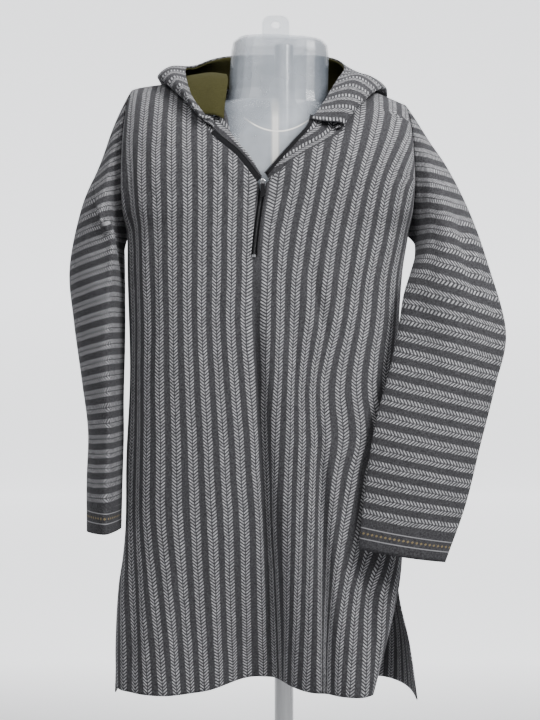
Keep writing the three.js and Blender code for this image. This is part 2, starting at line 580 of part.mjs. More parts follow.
// The pull tab: its ends are round about X, and its upper end turns on the hinge at the origin.
function pullGeometry() {
  const { wide, high, thick } = PULL;
  const round = thick / 2;
  const low = thick - high;
  const shape = new THREE.Shape().absarc(0, 0, round, 0, Math.PI);
  shape.lineTo(-round, low).absarc(0, low, round, Math.PI, 2 * Math.PI);
  const tab = new THREE.ExtrudeGeometry(shape, { depth: wide, bevelEnabled: false, curveSegments: 8 });
  const [x, y, z] = [[1, 0, 0], [0, 1, 0], [0, 0, 1]].map((axis) => new THREE.Vector3(...axis));
  return tab.translate(0, 0, -wide / 2).applyMatrix4(new THREE.Matrix4().makeBasis(y, z, x));
}

// ---- dress form and stand ----
function formSkin() {
  const square = (v) => Math.sign(v) * Math.abs(v) ** (2 / FORM_POWER);
  const rows = FORM.map(({ z, x, half, deep }) => {
    const ring = [];
    for (let k = 0; k < FORM_SIDES; k += 1) {
      const angle = (k / FORM_SIDES) * Math.PI * 2;
      const [c, n] = [Math.cos(angle), Math.sin(angle)];
      ring.push(new THREE.Vector3(x + half * square(c), deep * square(n), z));
    }
    return ring;
  });
  const sheet = skin(rows, true);
  const top = sheet.points.length;
  const last = (rows.length - 1) * FORM_SIDES;
  sheet.points.push(new THREE.Vector3(FORM[FORM.length - 1].x, 0, FORM[FORM.length - 1].z + 1));
  for (let k = 0; k < FORM_SIDES; k += 1) sheet.faces.push([last + k, last + ((k + 1) % FORM_SIDES), top]);
  const turn = new THREE.Matrix4().makeRotationY(FORM_ROLL);
  sheet.points.forEach((point) => point.sub(FORM_PIVOT).applyMatrix4(turn).add(FORM_PIVOT));
  return sheet;
}

function lugGeometry() {
  const shape = new THREE.Shape();
  const [w, r] = [LUG.wide / 2, LUG.round];
  shape.moveTo(-w, 0).lineTo(w, 0).lineTo(w, LUG.high - r);
  shape.absarc(w - r, LUG.high - r, r, 0, Math.PI / 2);
  shape.lineTo(-w + r, LUG.high).absarc(-w + r, LUG.high - r, r, Math.PI / 2, Math.PI);
  const hole = new THREE.Path();
  hole.absarc(0, LUG.holeZ, LUG.hole, 0, Math.PI * 2);
  shape.holes.push(hole);
  const plate = new THREE.ExtrudeGeometry(shape, { depth: LUG.thick, bevelEnabled: false, curveSegments: 8 });
  return plate.translate(0, 0, -LUG.thick / 2).rotateX(Math.PI / 2);
}

function turned(profile, sides) {
  const lathe = new THREE.LatheGeometry(profile.map(([r, z]) => new THREE.Vector2(r, z)), sides);
  const solid = lathe.rotateX(Math.PI / 2);
  solid.deleteAttribute('normal');
  solid.deleteAttribute('uv');
  return mergeVertices(solid, 1e-3);
}

// ---- finishes ----
const FINISH = {
  tweed: { color: 0x5c5b5f, roughness: 0.95, metalness: 0 },
  fleece: { color: 0x645f37, roughness: 1, metalness: 0 },
  plastic: { color: 0xd9e2e8, roughness: 0.35, metalness: 0, transparent: true, opacity: 0.6 },
  tape: { color: 0x151517, roughness: 0.9, metalness: 0 },
  silver: { color: 0xc9cacc, roughness: 0.3, metalness: 1 },
  steel: { color: 0xb4b6b8, roughness: 0.35, metalness: 1 },
};

const pheran = new THREE.Group();

function add(name, geometry, finish, place = [0, 0, 0]) {
  const mesh = new THREE.Mesh(geometry, new THREE.MeshStandardMaterial(FINISH[finish]));
  mesh.name = name;
  mesh.position.set(...place);
  pheran.add(mesh);
}

function addGarment() {
  const front = stationsOf(FRONT_HEM_Z, [ZIP_END_Z, ZIP_END_Z + WINDOW_STEP]);
  const back = stationsOf(BACK_HEM_Z, []);
  const zipEnd = front.findIndex(({ level }) => level === ZIP_END_Z);
  const neck = back.findIndex(({ w }) => w > BACK_OPEN) - 1;
  add('front', thicken(panelSkin('front', front, zipEnd), CLOTH, 0, onSeam), 'tweed');
  add('back', thicken(panelSkin('back', back, neck), CLOTH, 0, onSeam), 'tweed');
  add('sleeve_right', thicken(sleeveSkin(SLEEVE_RIGHT, 'right', SLEEVE_SIDES, SLEEVE_ROWS), CLOTH), 'tweed');
  add('sleeve_left', thicken(sleeveSkin(SLEEVE_LEFT, 'left', SLEEVE_SIDES, SLEEVE_ROWS), CLOTH), 'tweed');
}

function addHood() {
  const inside = -((CLOTH + FLEECE) / 2 + SEAM + LINING_EASE);
  for (const [side, rows] of [['right', HOOD_RIGHT], ['left', HOOD_LEFT]]) {
    const keys = rows.map(hoodKeys);
    add(`hood_${side}`, thicken(hoodSkin(keys, side, 0), CLOTH), 'tweed');
    add(`hood_lining_${side}`, thicken(hoodSkin(keys, side, LINING_FROM[side]), FLEECE, inside), 'fleece');
  }
  add('band_right', thicken(bandSkin(BAND_RIGHT, 'right'), CLOTH), 'tweed');
  add('band_left', thicken(bandSkin(BAND_LEFT, 'left'), CLOTH), 'tweed');
}

function addZip() {
  add('zip_tape_right', thicken(tapeSkin('right'), TAPE), 'tape');
  add('zip_tape_left', thicken(tapeSkin('left'), TAPE), 'tape');
  add('zip_chain', thicken(chainSkin(), CHAIN.thick), 'tape');
  const slider = roundedPlate(SLIDER.wide, SLIDER.high, SLIDER.thick, 3);
  add('zip_slider', slider, 'silver', [SLIDER.x, SLIDER.y, SLIDER.z]);
  const stop = roundedPlate(STOP.wide, STOP.high, STOP.thick, 1);
  add('zip_stop', stop, 'silver', [STOP.x, STOP.y, STOP.z]);
  const front = SLIDER.y - SLIDER.thick / 2 - PULL.thick / 2 - SEAM;
  add('zip_pull', pullGeometry(), 'tape', [SLIDER.x, front, PULL.z]);
}

function addStand() {
  add('form_torso', thicken(formSkin(), FORM_WALL, -FORM_WALL / 2), 'plastic');
  add('form_lug', lugGeometry(), 'plastic', [LUG.x, 0, LUG.z]);
  const { radius, top, edge, sides } = POLE;
  const bar = [[0, COLLAR.z], [radius, COLLAR.z], [radius, top - edge], [radius - edge, top], [0, top]];
  add('pole', turned(bar, sides), 'steel');
  const ring = [[radius + SEAM, 0], [COLLAR.radius, 0], [COLLAR.radius, COLLAR.high - COLLAR.edge],
    [COLLAR.radius - COLLAR.edge, COLLAR.high], [radius + SEAM, COLLAR.high], [radius + SEAM, 0]];
  add('pole_collar', turned(ring, sides), 'steel', [0, 0, COLLAR.z]);
  const plate = [[0, 0], [BASE.radius, 0], [BASE.radius, BASE.high - BASE.edge],
    [BASE.radius - BASE.edge, BASE.high], [0, BASE.high]];
  add('base_plate', turned(plate, BASE.sides), 'steel');
}

addGarment();
addHood();
addZip();
addStand();

export default pheran;
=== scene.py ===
"""A hooded wool pheran with a short front zip on a clear torso form: cloth, trims, finishes and camera."""
import math

import bmesh
import bpy
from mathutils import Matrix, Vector


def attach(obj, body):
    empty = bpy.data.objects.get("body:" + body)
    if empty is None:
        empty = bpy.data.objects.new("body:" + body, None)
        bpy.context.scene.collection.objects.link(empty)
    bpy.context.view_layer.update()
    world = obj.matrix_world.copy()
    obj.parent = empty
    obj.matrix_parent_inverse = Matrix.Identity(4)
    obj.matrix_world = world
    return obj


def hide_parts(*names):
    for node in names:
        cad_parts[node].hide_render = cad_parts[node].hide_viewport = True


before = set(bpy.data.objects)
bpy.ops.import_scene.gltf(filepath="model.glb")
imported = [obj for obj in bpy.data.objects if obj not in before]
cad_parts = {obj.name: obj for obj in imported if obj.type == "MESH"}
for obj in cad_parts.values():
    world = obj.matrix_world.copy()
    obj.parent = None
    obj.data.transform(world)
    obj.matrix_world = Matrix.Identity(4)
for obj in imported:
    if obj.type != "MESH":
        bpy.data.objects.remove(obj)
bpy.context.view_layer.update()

MM = 0.001                      # every table below is in millimetres
BODY = "garment"

# ---------------------------------------------------------------- cut and hang of the cloth
CLOTH, FLEECE = 2.0, 1.6
BOX_POWER = 3
CHEST_Z, RIDGE_Y, UNDERARM_Z, SLIT_Z = 1245, 5, 1175, 598
FRONT_HEM_Z, BACK_HEM_Z, ZIP_END_Z = 437, 413, 1127
ZIP_WINDOW = 9
BACK_OPEN = 0.63
SEAM = 0.3
FOLD_END = 0.35                 # the share of the way up the shoulder where the folds end


def table(columns, *rows):
    """Rows of a short table as dictionaries with named columns."""
    names = columns.split()
    return [dict(zip(names, row)) for row in rows]


SIDES = table(
    "z right rightY left leftY arm",
    (SLIT_Z, -273, -12, 185, -60, 0), (640, -267, -8, 191, -48, 0), (690, -263, -4, 193, -38, 0),
    (800, -262, 0, 189, -20, 0), (940, -256, 0, 188, -8, 0), (1110, -260, 0, 196, 0, 0),
    (UNDERARM_Z, -261, 0, 206, 0, 0), (1205, -264, 0, 209, 0, 40), (CHEST_Z, -266, 0, 212, 0, 58))
EDGES = {
    "front": table("z right rightY left leftY arm",
                   (FRONT_HEM_Z, -275, -40, 140, -112, 0), (500, -277, -27, 159, -92, 0)) + SIDES,
    "back": table("z right rightY left leftY arm",
                  (BACK_HEM_Z, -281, -22, 216, -66, 0), (500, -279, -18, 204, -64, 0)) + SIDES,
}
FLATS = table("z front back", (BACK_HEM_Z, -149, 128), (700, -138, 128), (1000, -129, 127),
              (CHEST_Z, -125, 125))
MIDDLE = table(
    "z front back", (BACK_HEM_Z, -18, -30), (600, -22, -28), (800, -33, -25), (1000, -46, -20),
    (ZIP_END_Z, -49, -16), (CHEST_Z, -35, -12))
SHOULDER_TIP = {"right": -248, "left": 197}
RIDGE = table(
    "x z", (-270, 1417), (-248, 1422), (-180, 1431), (-115, 1440), (0, 1442), (98, 1434), (150, 1416),
    (197, 1397), (215, 1391))
NECK = {
    "front": table("z right left", (CHEST_Z, -42, -30), (1291, -78, 24), (1328, -119, 88), (1360, -122, 97),
                   (1400, -121, 101), (1440, -118, 102)),
    "back": table("z right left", (1400, -14, -10), (1406, -60, 44), (1418, -96, 80), (1440, -118, 102)),
}
# Lengthwise folds, a row for each level.
FOLDS = {
    "front": [
        table("z x deep wide", (430, -44, 84, 82), (560, -46, 50, 72), (700, -44, 24, 56), (880, -46, 8, 40),
              (1020, -48, 0, 30)),
        table("z x deep wide", (430, -12, 16, 17), (560, -18, 20, 16), (800, -32, 15, 12), (1000, -45, 9, 9),
              (1110, -51, 0, 8)),
        table("z x deep wide", (430, 66, 12, 20), (700, 58, 9, 18), (900, 46, 0, 18)),
        table("z x deep wide", (430, -150, 10, 24), (620, -146, 6, 24), (900, -140, 0, 24)),
        table("z x deep wide", (430, 118, -8, 20), (560, 128, 10, 16), (760, 120, 0, 16)),
        table("z x deep wide", (430, -246, 4, 12), (600, -246, 10, 12), (900, -247, 20, 13),
              (1120, -249, 22, 13), (1244, -251, 16, 12), (1260, -251, 16, 12)),
        table("z x deep wide", (430, -20, 0, 9), (560, -17, 7, 9), (760, -28, 9, 8),
              (980, -42, 8, 7), (1090, -47, 0, 6)),
    ],
    "back": [
        table("z x deep wide", (405, -128, 96, 42), (600, -122, 44, 40), (850, -112, 12, 34),
              (1050, -104, 0, 30)),
        table("z x deep wide", (405, 20, 34, 34), (700, 14, 16, 30), (1000, 6, 0, 28)),
        table("z x deep wide", (405, 128, 42, 30), (700, 116, 18, 28), (980, 104, 0, 26)),
    ],
}
HEM_LIFT = {"x": -48, "up": 14, "wide": 60, "fade": 160}
# Soft creases that only the cloth's finish needs: where they start and end, how deep and wide.
CREASES = {
    "front": table(
        "x0 z0 x1 z1 deep wide",
        (-60, 1215, -128, 1290, 1.6, 9), (-12, 1212, 52, 1268, 1.8, 10), (38, 1130, 66, 985, 3.2, 10),
        (2, 1090, 22, 900, 2.2, 9), (-206, 1180, -222, 860, 2.6, 10), (-190, 1060, -176, 700, 1.4, 12),
        (150, 1190, 118, 1010, 2.6, 11), (-88, 700, -100, 470, 3.0, 12), (88, 900, 100, 560, 2.4, 11),
        (30, 760, 34, 470, 2.6, 11), (-236, 640, -240, 460, 3.4, 10), (172, 1300, 150, 1190, 2.4, 10),
        (-230, 1330, -214, 1210, 2.2, 10), (110, 1085, 70, 1040, 2.6, 13),
        (53, 880, 68, 445, 5.5, 9), (138, 620, 146, 440, 4.5, 9), (-160, 600, -176, 440, 3.4, 11),
        (46, 1090, 62, 1010, 2.4, 9), (120, 860, 128, 640, 3.0, 11), (-116, 1120, -112, 860, 1.6, 12)),
    "back": table(
        "x0 z0 x1 z1 deep wide",
        (-205, 1200, -190, 800, 2.4, 12), (160, 1200, 150, 820, 2.4, 12), (-60, 1000, -66, 560, 2.6, 12),
        (70, 980, 78, 520, 2.6, 12), (-200, 700, -214, 440, 3.2, 12), (180, 660, 176, 430, 3.0, 12),
        (-230, 1330, -205, 1190, 2.4, 10), (180, 1320, 160, 1190, 2.4, 10)),
}
# The front crease of the right sleeve lies nearer the body than its middle.
FRONT_CREASE = table("s shift", (0, 0), (0.12, 4), (0.3, 24), (0.5, 30), (0.7, 18), (0.85, 12), (1, 10))
SLEEVES = {
    "right": table(
        "s ox oz ix iz y deep",
        (0, -248, 1422, -262, 1175, RIDGE_Y, 62), (0.1, -287, 1350, -270, 1140, 2, 76),
        (0.2, -309, 1291, -269, 1105, -4, 88), (0.32, -337, 1222, -268, 1070, -10, 94),
        (0.45, -357, 1120, -267, 1030, -14, 95), (0.58, -349, 1030, -267, 975, -20, 92),
        (0.7, -334, 930, -268, 900, -28, 88), (0.8, -323, 850, -267, 835, -36, 80),
        (0.9, -324, 768, -268, 762, -44, 72), (1, -323, 687, -269, 690, -50, 66)),
    "left": table(
        "s ox oz ix iz y deep",
        (0, 197, 1397, 206, 1175, RIDGE_Y, 60), (0.1, 235, 1338, 218, 1158, -16, 62),
        (0.2, 266, 1285, 216, 1136, -42, 56), (0.32, 298, 1206, 204, 1106, -78, 44),
        (0.45, 325, 1118, 190, 1066, -100, 38), (0.56, 351, 1012, 182, 1020, -110, 36),
        (0.68, 332, 924, 166, 948, -120, 33), (0.8, 306, 830, 142, 862, -132, 29),
        (0.9, 282, 740, 127, 770, -141, 24), (1, 249, 651, 115, 671, -148, 18)),
}
SLEEVE_START, CREASE = 2.6, 0.45
HOOD = {
    "right": table(
        "nx nt fx ft fl kx ky kz rx ry rz",
        (-113, -63, -133, -59, 13, -131, -119, 1349, -121, -119, 1347),
        (-114, -50, -162, -47, 16, -161, -103, 1395, -150, -86, 1392),
        (-101, -28, -206, -20, 15, -188, -42, 1447, -163, -34, 1448),
        (-112, -2, -209, 14, 13, -182, 24, 1463, -150, 14, 1464),
        (-106, 11, -180, 56, 22, -152, 92, 1466, -126, 58, 1486),
        (-84, 25, -114, 86, 32, -110, 132, 1462, -96, 92, 1501),
        (-48, 29, -56, 100, 38, -54, 152, 1458, -48, 108, 1507),
        (-12.5, 30, -12.5, 104, 40, -12.5, 156, 1456, -12.5, 112, 1508)),
    "left": table(
        "nx nt fx ft fl kx ky kz rx ry rz",
        (78, -64, 93, -62, 11, 66, -119, 1344, 42, -113, 1349),
        (93, -53, 115, -51, 13, 88, -108, 1374, 57, -97, 1371),
        (97, -34, 149, -30, 14, 118, -66, 1428, 84, -63, 1420),
        (97, -6, 174, 0, 12, 142, 2, 1444, 101, -8, 1455),
        (90, 11, 162, 50, 21, 126, 82, 1452, 94, 50, 1483),
        (64, 25, 94, 85, 31, 84, 128, 1460, 68, 88, 1500),
        (26, 29, 32, 100, 38, 30, 151, 1458, 24, 107, 1507),
        (-11, 30, -11, 104, 40, -11, 156, 1456, -11, 112, 1508)),
}
NECK_LIFT, UNDER_LIFT, OVER_PUFF, SHOULDER_DEEP = 2.5, 7, 4, 126
UNDER_AT = (0.22, 0.48, 0.75)
LINING_EASE = 1.2
LINING_START = {"right": 0.06, "left": 1 / 15}     # the share of the hood's ribs before the lining starts
# How much nearer the form's neck the lining reaches than the outer hood, for each row of the hood.
LINING_REACH = {"right": (13, 17, 8, 13, 6, 0, 0, 0), "left": (0, 0, 0, 0, 0, 0, 0, 0)}
# Strips along the V: s is the outer edge, e the V edge.
BANDS = {
    "right": table("sx sz ex ez ey", (-50, 1252, -36.5, 1257, -123), (-74, 1281, -55, 1289, -117),
                   (-95, 1304, -77, 1315, -112), (-108, 1318, -87, 1331, -107), (-123, 1331, -91, 1352, -100),
                   (-128, 1345, -96, 1368, -94)),
    "left": table("sx sz ex ez ey", (-23, 1248, -31, 1261, -125), (20, 1276, -10, 1286, -123),
                  (56, 1298, 12, 1311, -119), (96, 1324, 37, 1340, -113), (100, 1339, 42, 1357, -104)),
}
TUCK = 5.0                      # how far behind the body cloth the strips' outer edges lie

# The front's stripe pairs: where each named pair lies, by level, and its number counted from pair d.
PAIR_NUMBER = {"a": -3, "d": 0, "h": 4, "i": 5, "j": 6, "k": 7, "n": 10, "p": 12, "r": 14}
GRAIN = table(
    "z a d h i j k n p r",
    (440, -192, -128, -34, -14, -6, 1, 57, 68, 101), (516, -198, -131, -36, -17, -8, 3, 56, 70, 106),
    (610, -209, -136, -38, -20, -12, 4, 55, 78, 116), (715, -221, -141, -41, -26, -17, 5, 56, 94, 151),
    (786, -221, -144, -46, -29, -16, 6, 60, 107, 162), (840, -220, -146, -49, -31, -15, 8, 64, 120, 172),
    (927, -220, -150, -56, -30, -11, 10, 61, 113, 162), (1030, -219, -154, -63, -28, -8, 15, 83, 128, 172),
    (1098, -222, -154, -61, -27, -6, 18, 93, 136, 176), (1163, -224, -154, -60, -24, 0, 27, 102, 150, 189),
    (1245, -228, -154, -58, -10, 16, 43, 120, 165, 205), (1355, -227, -157, -58, 0, 30, 60, 149, 203, 245),
    (1440, -225, -157, -58, 0, 30, 60, 158, 212, 255))
BACK_PAIRS = table("z left right", (413, 70, -96), (800, 84, -110), (1245, 92, -120), (1440, 92, -120))
BACK_NUMBER = {"left": -4, "right": 4}
# Sleeve stripe pairs: the height of a numbered pair at the sleeve's inner and outer edges.
SLEEVE_PAIRS = {
    "left": table("n inner outer", (26, 626, 604), (22, 727, 704), (18, 828, 794), (13, 955, 915),
                  (8, 1082, 1036), (4.5, 1171, 1140), (1, 1260, 1241), (-6, 1438, 1437)),
    "right": table("n inner outer", (32, 630, 628), (23, 842, 836), (13, 1095, 1070),
                   (3, 1350, 1322), (-2, 1478, 1448)),
}
SLEEVE_EDGES = {
    "left": table("z inner outer", (640, 112, 246), (770, 127, 290), (862, 142, 316), (948, 166, 339),
                  (1020, 182, 352), (1106, 200, 328), (1206, 206, 298), (1300, 204, 258), (1397, 197, 199)),
    "right": table("z inner outer", (680, -266, -323), (900, -268, -330), (1070, -267, -356),
                   (1180, -262, -345), (1290, -264, -309), (1422, -246, -250)),
}

REPEAT = 24.5                   # one pair of stripes and the ground between two pairs
HALF_STEPS, BODY_ROWS, SHOULDER_ROWS, FINE = 64, 150, 34, 260
SLEEVE_SIDES, SLEEVE_ROWS = 96, 150
HOOD_RIBS, HOOD_STEPS, HOOD_FINE = 54, 60, 120
BAND_STEPS, BAND_SPLIT = 40, 8


# ---------------------------------------------------------------- form helpers
def mix(a, b, t):
    return a + (b - a) * t


def ease(value, low, high):
    t = min(max((value - low) / (high - low), 0), 1)
    return t * t * (3 - 2 * t)


def read(rows, key, column, value):
    """A column of a table at a value of its key, on a smooth curve through the rows."""
    last = len(rows) - 1
    if value <= rows[0][key]:
        return rows[0][column]
    if value >= rows[last][key]:
        return rows[last][column]
    i = 0
    while rows[i + 1][key] < value:
        i += 1

    def slope(a, b):
        return (rows[b][column] - rows[a][column]) / (rows[b][key] - rows[a][key])

    span = rows[i + 1][key] - rows[i][key]
    here = slope(i, i + 1)
    start = (slope(i - 1, i) + here) / 2 if i > 0 else here
    end = (slope(i + 1, i + 2) + here) / 2 if i + 1 < last else here
    t = (value - rows[i][key]) / span
    t2, t3 = t * t, t * t * t
    return (rows[i][column] * (2 * t3 - 3 * t2 + 1) + rows[i + 1][column] * (3 * t2 - 2 * t3)
            + span * (start * (t3 - 2 * t2 + t) + end * (t3 - t2)))


def respace(points, count):
    """count + 1 points evenly along a line of points."""
    run = [0.0]
    for a, b in zip(points, points[1:]):
        run.append(run[-1] + (b - a).length)
    out, i = [], 0
    for k in range(count + 1):
        goal = run[-1] * k / count
        while i < len(points) - 2 and run[i + 1] < goal:
            i += 1
        t = (goal - run[i]) / max(run[i + 1] - run[i], 1e-9)
        out.append(points[i].lerp(points[i + 1], min(max(t, 0), 1)))
    return out


def curve_through(points, samples):
    """Centripetal curve through the points, as samples + 1 points."""
    chain = [points[0] * 2 - points[1], *points, points[-1] * 2 - points[-2]]
    out = []
    for k in range(samples + 1):
        place = (len(points) - 1) * k / samples
        i = min(int(place), len(points) - 2)
        t = place - i
        p0, p1, p2, p3 = chain[i:i + 4]
        d0, d1, d2 = (max((b - a).length ** 0.5, 1e-4) for a, b in ((p0, p1), (p1, p2), (p2, p3)))
        m1 = ((p1 - p0) / d0 - (p2 - p0) / (d0 + d1) + (p2 - p1) / d1) * d1
        m2 = ((p2 - p1) / d1 - (p3 - p1) / (d1 + d2) + (p3 - p2) / d2) * d1
        t2, t3 = t * t, t * t * t
        out.append(p1 * (2 * t3 - 3 * t2 + 1) + m1 * (t3 - 2 * t2 + t)
                   + p2 * (3 * t2 - 2 * t3) + m2 * (t3 - t2))
    return out


class Skin:
    """A sheet of points with faces and a pattern coordinate for each face corner, in millimetres."""

    def __init__(self):
        self.points, self.faces, self.marks = [], [], []

    def grid(self, rows, marks, wrap=False):
        """Adds rows of points. marks holds an (across, along) pair for each point, plus one if wrapped."""
        start, across = len(self.points), len(rows[0])
        for row in rows:
            self.points.extend(row)
        for j in range(len(rows) - 1):
            for i in range(across if wrap else across - 1):
                n = (i + 1) % across
                self.faces.append([start + j * across + i, start + j * across + n,
                                   start + (j + 1) * across + n, start + (j + 1) * across + i])
                self.marks.append([marks[j][i], marks[j][i + 1], marks[j + 1][i + 1], marks[j + 1][i]])
        return self

    def object(self, name, material, wall=0.0, aside=0.0):
        """The mesh object: edge points of its grids joined, walls added, smooth."""
        mesh = bpy.data.meshes.new(name)
        mesh.from_pydata([p * MM for p in self.points], [], self.faces)
        layer = mesh.uv_layers.new(name="stripes")
        flat = [value * MM for face in self.marks for mark in face for value in mark[:2]]
        layer.data.foreach_set("uv", flat)
        if len(self.marks[0][0]) > 2:
            layer = mesh.uv_layers.new(name="edge")
            flat = [value * MM for face in self.marks for mark in face for value in (mark[2], mark[1])]
            layer.data.foreach_set("uv", flat)
        obj = bpy.data.objects.new(name, mesh)
        bpy.context.scene.collection.objects.link(obj)
        weld(mesh)
        mesh.shade_smooth()
        mesh.materials.append(material)
        if wall:
            solid = obj.modifiers.new("wall", "SOLIDIFY")
            solid.thickness, solid.offset = wall * MM, 2 * aside / wall
            settle(obj)
        return obj


def weld(mesh):
    work = bmesh.new()
    work.from_mesh(mesh)
    bmesh.ops.remove_doubles(work, verts=work.verts, dist=2e-5)
    work.to_mesh(mesh)
    work.free()


def settle(obj):
    """Bakes an object's modifiers into its mesh and clears them."""
    depsgraph = bpy.context.evaluated_depsgraph_get()
    mesh = bpy.data.meshes.new_from_object(obj.evaluated_get(depsgraph))
    obj.modifiers.clear()
    old = obj.data
    obj.data = mesh
    bpy.data.meshes.remove(old)
    mesh.name = obj.name


# ---------------------------------------------------------------- front and back
def fold_depth(panel, x, z):
    deep = 0.0
    for rows in FOLDS[panel]:
        if z < rows[-1]["z"]:
            t = (x - read(rows, "z", "x", z)) / read(rows, "z", "wide", z)
            deep += read(rows, "z", "deep", z) * math.exp(-t * t)
    return deep


def crease_depth(panel, x, z):
    """Soft creases: each is a trough along a straight run that fades at both ends."""
    deep = 0.0
    for row in CREASES[panel]:
        run = Vector((row["x1"] - row["x0"], row["z1"] - row["z0"]))
        here = Vector((x - row["x0"], z - row["z0"]))
        t = here.dot(run) / run.length_squared
        if -0.2 < t < 1.2:
            off = abs(here.x * run.y - here.y * run.x) / run.length
            if off < 4 * row["wide"]:
                ends = ease(t, -0.15, 0.3) * (1 - ease(t, 0.7, 1.15))
                s = off / row["wide"]
                deep += row["deep"] * ends * (math.exp(-s * s) - 0.45 * math.exp(-((s - 1.7) ** 2)))
    return deep


class Station:
    """One level of a panel, or a step w up its shoulder, with its table values read once."""

    def __init__(self, panel, level, w=0.0):
        self.panel, self.level, self.w = panel, level, w
        self.sign = -1 if panel == "front" else 1
        edges = EDGES[panel]
        arm = max(0, read(edges, "z", "arm", level))
        self.edge_x = {s: mix(read(edges, "z", s, level), SHOULDER_TIP[s], w * w) for s in SHOULDER_TIP}
        self.edge_y = {s: read(edges, "z", s + "Y", level) + self.sign * arm for s in SHOULDER_TIP}
        self.middle = read(MIDDLE, "z", panel, level)
        self.flat = read(FLATS, "z", panel, level)

    def point(self, side, t):
        turn = t * math.pi / 2
        x = self.middle + (self.edge_x[side] - self.middle) * max(math.cos(turn), 0) ** (2 / BOX_POWER)
        y = self.edge_y[side] + (self.flat - self.edge_y[side]) * math.sin(turn) ** (2 / BOX_POWER)
        gap = self.sign * SEAM / 2
        if self.w > 0:
            up = self.w * math.pi / 2
            top = read(RIDGE, "x", "z", x)
            z = CHEST_Z + (top - CHEST_Z) * math.sin(up)
            fade = 1 - ease(self.w, 0, FOLD_END)
            deep = crease_depth(self.panel, x, z) + fold_depth(self.panel, x, CHEST_Z) * fade
            y -= self.sign * deep * ease(math.sin(turn), 0, 0.75)
            return Vector((x, RIDGE_Y + gap + (y - RIDGE_Y) * math.cos(up), z))
        near = ease(math.sin(turn), 0, 0.75)
        deep = fold_depth(self.panel, x, self.level) + crease_depth(self.panel, x, self.level)
        lift = hem_lift(x, self.level) if self.panel == "front" else 0
        return Vector((x, y - self.sign * deep * near + gap, self.level + lift))

    def limit(self, side, point, opened):
        outward = -1 if side == "right" else 1
        if not opened:
            return self.middle
        if self.panel == "front" and point.z < CHEST_Z:
            return self.middle + outward * ZIP_WINDOW / 2
        return read(NECK[self.panel], "z", side, point.z)

    def half_row(self, side, opened, count=HALF_STEPS):
        outward = -1 if side == "right" else 1
        line = []
        for k in range(FINE + 1):
            point = self.point(side, k / FINE)
            limit = self.limit(side, point, opened)
            if (point.x - limit) * outward >= 0:
                line.append(point)
                continue
            last = line[-1]
            line.append(last.lerp(point, (limit - last.x) / (point.x - last.x)))
            break
        return respace(line, count)


def hem_lift(x, z):
    t = (x - HEM_LIFT["x"]) / HEM_LIFT["wide"]
    return HEM_LIFT["up"] * math.exp(-t * t) * (1 - ease(z, FRONT_HEM_Z, FRONT_HEM_Z + HEM_LIFT["fade"]))


def stations_of(panel, hem, extra):
    levels = [mix(hem, CHEST_Z, k / BODY_ROWS) for k in range(BODY_ROWS + 1)] + extra
    shoulder = [Station(panel, CHEST_Z, (k + 1) / SHOULDER_ROWS) for k in range(SHOULDER_ROWS)]
    return [Station(panel, level) for level in sorted(set(levels))] + shoulder


def along_row(run, row, x):
    """Arc length at which a row of rising x passes x, or None outside it."""
    if not row[0].x <= x <= row[-1].x:
        return None
    i = next(i for i in range(1, len(row)) if row[i].x >= x)
    return mix(run[i - 1], run[i], (x - row[i - 1].x) / max(row[i].x - row[i - 1].x, 1e-6))


def stripe_run(panel, right, left):
    """Stripe coordinates of both half rows: by arc length between the pairs whose places are known."""
    row = right + left[::-1]
    run = [0.0]
    for a, b in zip(row, row[1:]):
        run.append(run[-1] + (b - a).length)
    table_of, number = (GRAIN, PAIR_NUMBER) if panel == "front" else (BACK_PAIRS, BACK_NUMBER)
    level = row[len(row) // 4].z
    known = []
    for name, n in number.items():
        at = along_row(run, row, read(table_of, "z", name, level))
        if at is not None:
            known.append((at, n * REPEAT))
    known.sort()
    facing = 1 if known[-1][1] >= known[0][1] else -1
    known.insert(0, (-1000.0, known[0][1] - facing * (1000 + known[0][0])))
    known.append((known[-1][0] + 1000, known[-1][1] + facing * 1000))
    marks, i = [], 0
    for value in run:
        while known[i + 1][0] < value:
            i += 1
        (low, from_u), (high, to_u) = known[i], known[i + 1]
        marks.append(mix(from_u, to_u, (value - low) / max(high - low, 1e-6)))
    return marks[:len(right)], marks[len(right):][::-1]


def panel_skin(panel, stations, last_closed):
    skin = Skin()
    grids = {side: ([], []) for side in ("right", "left")}
    up = 0.0
    for index, station in enumerate(stations):
        opened = index > last_closed
        rows = {side: station.half_row(side, opened) for side in grids}
        right, left = stripe_run(panel, rows["right"], rows["left"])
        if index:
            up += (rows["right"][HALF_STEPS // 2] - grids["right"][0][-1][HALF_STEPS // 2]).length
        for side, values in (("right", right), ("left", left)):
            points, marks = grids[side]
            if index == last_closed + 1:
                add_rows(skin, panel, side, points, marks)
                points[:], marks[:] = points[-1:], marks[-1:]
            points.append(rows[side])
            marks.append([(value, up) for value in values])
    for side, (points, marks) in grids.items():
        add_rows(skin, panel, side, points, marks)
    return skin


def add_rows(skin, panel, side, rows, marks):
    if (side == "left") == (panel == "front"):
        rows = [row[::-1] for row in rows]
        marks = [row[::-1] for row in marks]
    skin.grid(rows, marks)


# ---------------------------------------------------------------- sleeves
def armhole_point(stations, side, q):
    split = 0.32
    if q < split:
        return Station(stations, mix(UNDERARM_Z, CHEST_Z, q / split)).point(side, 0)
    return Station(stations, CHEST_Z, (q - split) / (1 - split)).point(side, 0)


